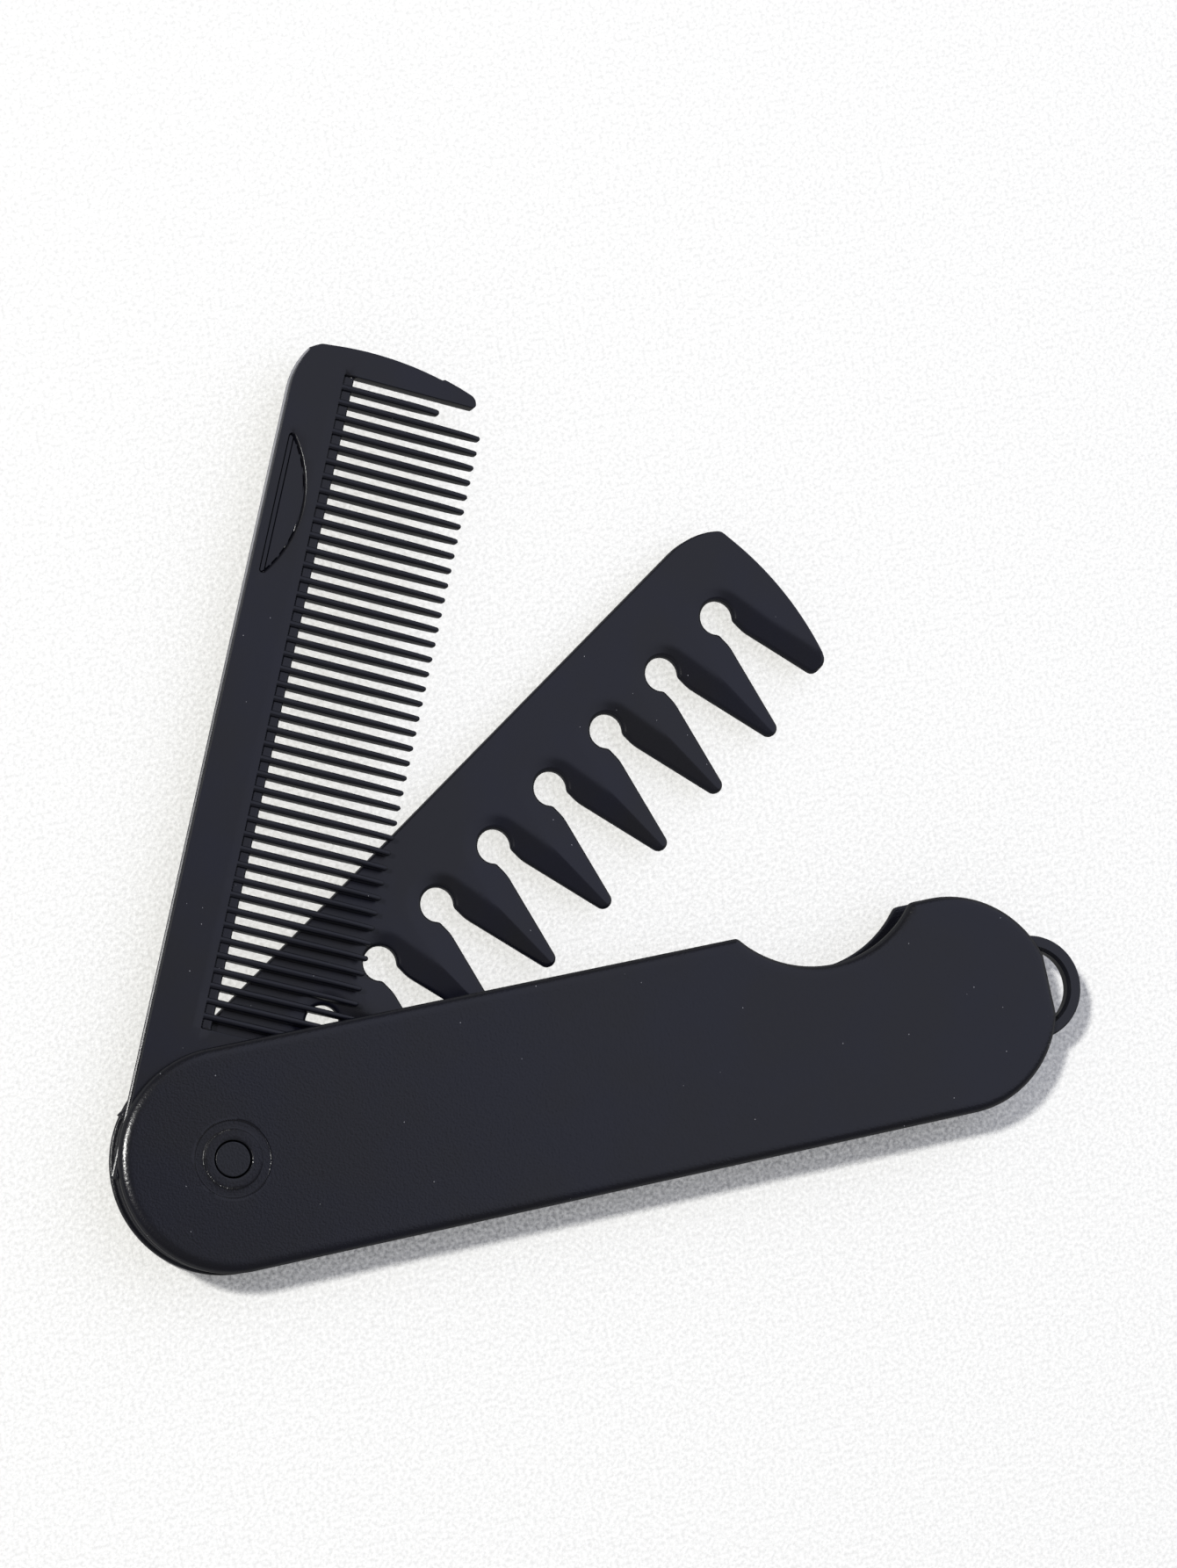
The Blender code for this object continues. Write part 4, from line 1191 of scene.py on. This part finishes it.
def fine_half(plane):
    """Half the fine blade's thickness, without its teeth."""
    strip = STRIP_THICKNESS / 2 - rolled(distance_to(plane, gap_line, closed=False), STRIP_ROLL)
    share = step_up(into_strip(plane), STRIP_STEP_AT, STRIP_STEP_WIDTH)
    corner = rolled(np.where(into_strip(plane) < 0, -into_strip(plane), 9), BLADE_ARRIS)
    edge = np.maximum(rolled(distance_to(plane, fine_back_line, closed=False), FINE_SPINE_RADIUS),
                      rolled(distance_to(plane, guard_line, closed=False), BLADE_ARRIS))
    edge = np.maximum(edge, rolled(distance_to(plane, foot_line, closed=False), BLADE_ARRIS))
    bore = rolled(np.hypot(plane[:, 0], plane[:, 1]) - BORE_RADIUS, BLADE_ARRIS)
    body = COMB_THICKNESS / 2 - np.maximum(np.maximum(edge, bore), corner)
    return body * (1 - share) + strip * share


in_strip = np.array([[FIRST_GAP_U - FINE_PITCH / 2, STRIP_V - 0.5]])
print("half the thickness of the strip:", fine_half(in_strip).round(2), "mm")

# %% Fine blade body
FINE_GRID = 1.2
STRIP_RINGS = (-0.14, -0.08, -0.02, 0.03, 0.08, 0.14, 0.22)
strip_guides = []
for shift in STRIP_RINGS:
    line = [(strip_right - shift, TOOTH_ROOT_V + 0.1), (strip_right - shift, STRIP_V - shift),
            (strip_left + shift, STRIP_V - shift), (strip_left + shift, TOOTH_ROOT_V + 0.1)]
    strip_guides.append(spaced(line, 0.35, closed=False))
fine_rims = [(fine_back_line, False, roll_steps(FINE_SPINE_RADIUS, 3)),
             (guard_line, False, roll_steps(BLADE_ARRIS, 3)),
             (foot_line, False, roll_steps(BLADE_ARRIS, 3)),
             (gap_line, False, roll_steps(STRIP_ROLL, 5)),
             (bore_loop, True, roll_steps(BLADE_ARRIS, 3))]
fine_body = relief("fine_blade", [fine_loop, bore_loop],
                   lambda p: FINE_MIDDLE + fine_half(p) - np.maximum(nick_depth(p), lip_drop(p)),
                   lambda p: FINE_MIDDLE - fine_half(p), rims=fine_rims, grid=FINE_GRID,
                   guides=strip_guides + lip_guides + nick_guides, turn_deg=FINE_OPEN_DEG)

# %% Painted sheen on the lip
LIP_BOTTOM = 0.1
LIP_TOP = LIP_THICKNESS + LIP_SLOPE * LIP_WIDTH + 0.02
SHEEN_REACH = (18, 24, 60, 90)
SHEEN_SHARE = (0.0, 0.25, 0.25, 1.0)
rise = np.array([v.co.z for v in fine_body.data.vertices]) / MM - FINE_Z
painted_sheen = []
# Painted reflection: the lip's upward faces get a share of the pale sheen, which grows with the distance from
# the pin.
for face in fine_body.data.polygons:
    on_lip = face.normal.z > 0.5 and all(LIP_BOTTOM < rise[i] < LIP_TOP for i in face.vertices)
    from_pin = math.hypot(face.center.x / MM - PIVOT_X, face.center.y / MM)
    painted_sheen.append(float(np.interp(from_pin, SHEEN_REACH, SHEEN_SHARE)) if on_lip else 0.0)
fine_body.data.attributes.new("painted_sheen", "FLOAT", "FACE").data.foreach_set("value", painted_sheen)
print("scraped lip:", sum(s > 0 for s in painted_sheen), "faces")

# %% [markdown]
# ## The fine teeth
#
# Forty-three teeth at one pitch are a job for Geometry Nodes: a long tooth and a short one are drawn, and
# the tree sets the short one on the first point of a line, beside the guard, and the long one on all the
# others. The count and the pitch are inputs of the tree, so a coarser comb is two numbers away.
#
# A tooth's section isn't a rectangle. It is a superellipse, crowned above and almost square below.

# %% One tooth
TOOTH_HALF_THICKNESS = 1.23
TOOTH_CROWN = 0.45
TOOTH_FOOT = 0.2
TOOTH_SHIFT = -0.005
TOOTH_START_V = STRIP_V + 0.3
TOOTH_TIP_SHARE = 0.55
TIP_LEVELS = ((4.6, 1.0), (2.6, 0.93), (1.6, 0.82), (1.1, 0.74))
TIP_TURNS_DEG = (30, 55, 75, 88)
TAPER_V = (-12.6, -10, -8, -6, -4, -2)
TAPER_HALF_WIDTH = (0.35, 0.37, 0.39, 0.42, 0.445, 0.455)


def tooth_half_width(v):
    """Half-width of a fine tooth at height v."""
    return float(np.interp(v, TAPER_V, TAPER_HALF_WIDTH))


def tooth_levels(tip_v):
    """Heights along a tooth from root to tip, with its half-width and its share of thickness."""
    tip = tooth_half_width(tip_v + 0.4)
    straight = tip_v + tip
    levels = [(v, tooth_half_width(v), 1.0) for v in (TOOTH_START_V, -2, -4, -6) if v > tip_v + 5]
    for rise, share in (*TIP_LEVELS, (tip, TOOTH_TIP_SHARE)):
        levels.append((tip_v + rise, tooth_half_width(tip_v + rise), share))
    for turn_deg in TIP_TURNS_DEG:
        a = math.radians(turn_deg)
        share = TOOTH_TIP_SHARE - 0.3 * (1 - math.cos(a))
        levels.append((straight - tip * math.sin(a), tip * math.cos(a), share))
    return levels


def tooth_object(name, tip_v):
    """One tooth, lofted through its levels, with its origin on the strip's upper edge."""
    section = []
    for turn_deg in range(0, 360, 15):
        power = TOOTH_CROWN if turn_deg <= 180 else TOOTH_FOOT
        c, s = math.cos(math.radians(turn_deg)), math.sin(math.radians(turn_deg))
        section.append((math.copysign(abs(c) ** power, c), math.copysign(abs(s) ** power, s)))
    sections = []
    for v, half_width, share in tooth_levels(tip_v):
        half_thickness = TOOTH_HALF_THICKNESS * share
        sections.append([(x * half_width * MM, (v - STRIP_V) * MM, z * half_thickness * MM)
                         for x, z in section])
    return lofted(name, sections)


long_tooth = tooth_object("long_tooth", FINE_TIP_V)
short_tooth = tooth_object("short_tooth", SHORT_TIP_V)

# %% Helpers for Geometry Nodes


def new_tree(name, sockets):
    """An empty Geometry Nodes tree with named inputs, its group input, and its inputs' identifiers."""
    tree = bpy.data.node_groups.new(name, "GeometryNodeTree")
    tree.interface.new_socket("Geometry", in_out="OUTPUT", socket_type="NodeSocketGeometry")
    for label, kind in sockets:
        tree.interface.new_socket(label, in_out="INPUT", socket_type=kind)
    keys = {item.name: item.identifier for item in tree.interface.items_tree if item.in_out == "INPUT"}
    return tree, add(tree, "NodeGroupInput"), keys


def made_by(tree, keys, values, name):
    """A plain mesh object from a tree and the values of its inputs."""
    holder = bpy.data.objects.new(name, bpy.data.meshes.new(name))
    bpy.context.scene.collection.objects.link(holder)
    modifier = holder.modifiers.new("nodes", "NODES")
    modifier.node_group = tree
    for label, value in values.items():
        modifier[keys[label]] = value
    shown = holder.evaluated_get(bpy.context.evaluated_depsgraph_get())
    mesh = bpy.data.meshes.new_from_object(shown)
    holder.modifiers.clear()
    holder.data = mesh
    print(name, len(mesh.polygons), "faces from nodes")
    return holder


def set_in_frame(piece, middle_z, turn_deg):
    """Move a mesh drawn in a blade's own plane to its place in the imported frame."""
    turn = Matrix.Rotation(math.radians(turn_deg), 4, "Z")
    piece.data.transform(Matrix.Translation((PIVOT_X * MM, 0, middle_z * MM)) @ turn)
    return piece


print("three helpers: an empty tree, a mesh made by it, and its place in the frame")

# %% Row of teeth
row, inputs, keys = new_tree("tooth_row", [
    ("Long tooth", "NodeSocketObject"), ("Short tooth", "NodeSocketObject"), ("Count", "NodeSocketInt"),
    ("Pitch", "NodeSocketFloat"), ("First tooth", "NodeSocketVector"), ("Finish", "NodeSocketMaterial")])
back_step = add(row, "ShaderNodeMath", {0: inputs.outputs["Pitch"], 1: -1.0}, operation="MULTIPLY")
offset = add(row, "ShaderNodeCombineXYZ", {"X": back_step.outputs[0]})
line = add(row, "GeometryNodeMeshLine", {
    "Count": inputs.outputs["Count"], "Start Location": inputs.outputs["First tooth"],
    "Offset": offset.outputs[0]}, mode="OFFSET")
number = add(row, "GeometryNodeInputIndex")
both = add(row, "GeometryNodeJoinGeometry")
for label, relation in (("Short tooth", "EQUAL"), ("Long tooth", "NOT_EQUAL")):
    chosen = add(row, "FunctionNodeCompare", {2: number.outputs[0], 3: 0},
                 data_type="INT", operation=relation)
    tooth = add(row, "GeometryNodeObjectInfo", {"Object": inputs.outputs[label]})
    placed_teeth = add(row, "GeometryNodeInstanceOnPoints", {
        "Points": line.outputs[0], "Selection": chosen.outputs[0], "Instance": tooth.outputs["Geometry"]})
    row.links.new(placed_teeth.outputs[0], both.inputs[0])
real = add(row, "GeometryNodeRealizeInstances", {"Geometry": both.outputs[0]})
dressed = add(row, "GeometryNodeSetMaterial", {
    "Geometry": real.outputs[0], "Material": inputs.outputs["Finish"]})
add(row, "NodeGroupOutput", {"Geometry": dressed.outputs[0]})
first_tooth_u = FIRST_GAP_U - FINE_PITCH / 2 + TOOTH_SHIFT
teeth = made_by(row, keys, {
    "Long tooth": long_tooth, "Short tooth": short_tooth, "Count": FINE_GAP_COUNT - 1,
    "Pitch": FINE_PITCH * MM, "First tooth": (first_tooth_u * MM, STRIP_V * MM, 0.0),
    "Finish": comb_black}, "fine_teeth")
set_in_frame(teeth, FINE_MIDDLE, FINE_OPEN_DEG)
bpy.data.objects.remove(long_tooth)
bpy.data.objects.remove(short_tooth)

# %% [markdown]
# ## Ribs in the nail nick
#
# The nick's floor has low ribs along the blade for grip. Each rib is as long as the D of the nick is wide
# at its place, which is a chord of a circle, so the tree works the length out from the circle's radius.

# %% One rib
RIB_COUNT = 4
RIB_PITCH = 0.8
RIB_WIDTH = 0.36
RIB_HEIGHT = 0.035
RIB_SINK = 0.05
RIB_FIRST_V = 12.15
RIB_END_GAP = 0.7
RIB_ENDS = ((-1.0, 0.35), (-0.985, 1.0), (0.985, 1.0), (1.0, 0.35))


def rib_section(x, shrink):
    """A low arch across the rib at x, whose foot sinks into the nick's floor."""
    section = []
    for turn_deg in range(0, 181, 30):
        a = math.radians(turn_deg)
        height = math.sin(a) * RIB_HEIGHT * shrink - RIB_SINK
        section.append((x, math.cos(a) * RIB_WIDTH / 2 * MM, height * MM))
    return section


one_rib = lofted("one_rib", [rib_section(x, shrink) for x, shrink in RIB_ENDS])

# %% Ribs in Geometry Nodes
ribs, inputs, keys = new_tree("nick_ribs", [
    ("Rib", "NodeSocketObject"), ("Count", "NodeSocketInt"), ("Pitch", "NodeSocketFloat"),
    ("First rib", "NodeSocketVector"), ("Circle v", "NodeSocketFloat"),
    ("Circle radius", "NodeSocketFloat"), ("End gap", "NodeSocketFloat"), ("Finish", "NodeSocketMaterial")])
down = add(ribs, "ShaderNodeMath", {0: inputs.outputs["Pitch"], 1: -1.0}, operation="MULTIPLY")
offset = add(ribs, "ShaderNodeCombineXYZ", {"Y": down.outputs[0]})
line = add(ribs, "GeometryNodeMeshLine", {
    "Count": inputs.outputs["Count"], "Start Location": inputs.outputs["First rib"],
    "Offset": offset.outputs[0]}, mode="OFFSET")
place = add(ribs, "GeometryNodeInputPosition")
parts = add(ribs, "ShaderNodeSeparateXYZ", {0: place.outputs[0]})
rise = add(ribs, "ShaderNodeMath", {
    0: inputs.outputs["Circle v"], 1: parts.outputs["Y"]}, operation="SUBTRACT")
rise_2 = add(ribs, "ShaderNodeMath", {0: rise.outputs[0], 1: 2.0}, operation="POWER")
radius_2 = add(ribs, "ShaderNodeMath", {0: inputs.outputs["Circle radius"], 1: 2.0}, operation="POWER")
left = add(ribs, "ShaderNodeMath", {0: radius_2.outputs[0], 1: rise_2.outputs[0]}, operation="SUBTRACT")
chord = add(ribs, "ShaderNodeMath", {0: left.outputs[0]}, operation="SQRT")
length = add(ribs, "ShaderNodeMath", {
    0: chord.outputs[0], 1: inputs.outputs["End gap"]}, operation="SUBTRACT")
size = add(ribs, "ShaderNodeCombineXYZ", {"X": length.outputs[0], "Y": 1.0, "Z": 1.0})
rib = add(ribs, "GeometryNodeObjectInfo", {"Object": inputs.outputs["Rib"]})
spread = add(ribs, "GeometryNodeInstanceOnPoints", {
    "Points": line.outputs[0], "Instance": rib.outputs["Geometry"], "Scale": size.outputs[0]})
real = add(ribs, "GeometryNodeRealizeInstances", {"Geometry": spread.outputs[0]})
dressed = add(ribs, "GeometryNodeSetMaterial", {
    "Geometry": real.outputs[0], "Material": inputs.outputs["Finish"]})
add(ribs, "NodeGroupOutput", {"Geometry": dressed.outputs[0]})
nick_floor = COMB_THICKNESS / 2 - NICK_DEPTH
nick_ribs = made_by(ribs, keys, {
    "Rib": one_rib, "Count": RIB_COUNT, "Pitch": RIB_PITCH * MM,
    "First rib": (NICK[0] * MM, RIB_FIRST_V * MM, nick_floor * MM), "Circle v": NICK[1] * MM,
    "Circle radius": NICK_RADIUS * MM, "End gap": RIB_END_GAP * MM, "Finish": comb_black}, "nick_ribs")
set_in_frame(nick_ribs, FINE_MIDDLE, FINE_OPEN_DEG)
bpy.data.objects.remove(one_rib)
fine_blade = joined(fine_body, teeth, nick_ribs)
hand_over(fine_blade, comb_black, "fine", "fine_comb")

# %% [markdown]
# ## Sizes
#
# The dressed comb should fill the same box as the imported one. Both boxes are printed, one after the other.

# %% Print both boxes
visual_low, visual_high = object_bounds()
sizes = {"cad": [list(cad_low), list(cad_high)], "visual": [list(visual_low), list(visual_high)]}
for label, (low, high) in sizes.items():
    print(label, [round(c / MM, 2) for c in low], [round(c / MM, 2) for c in high])
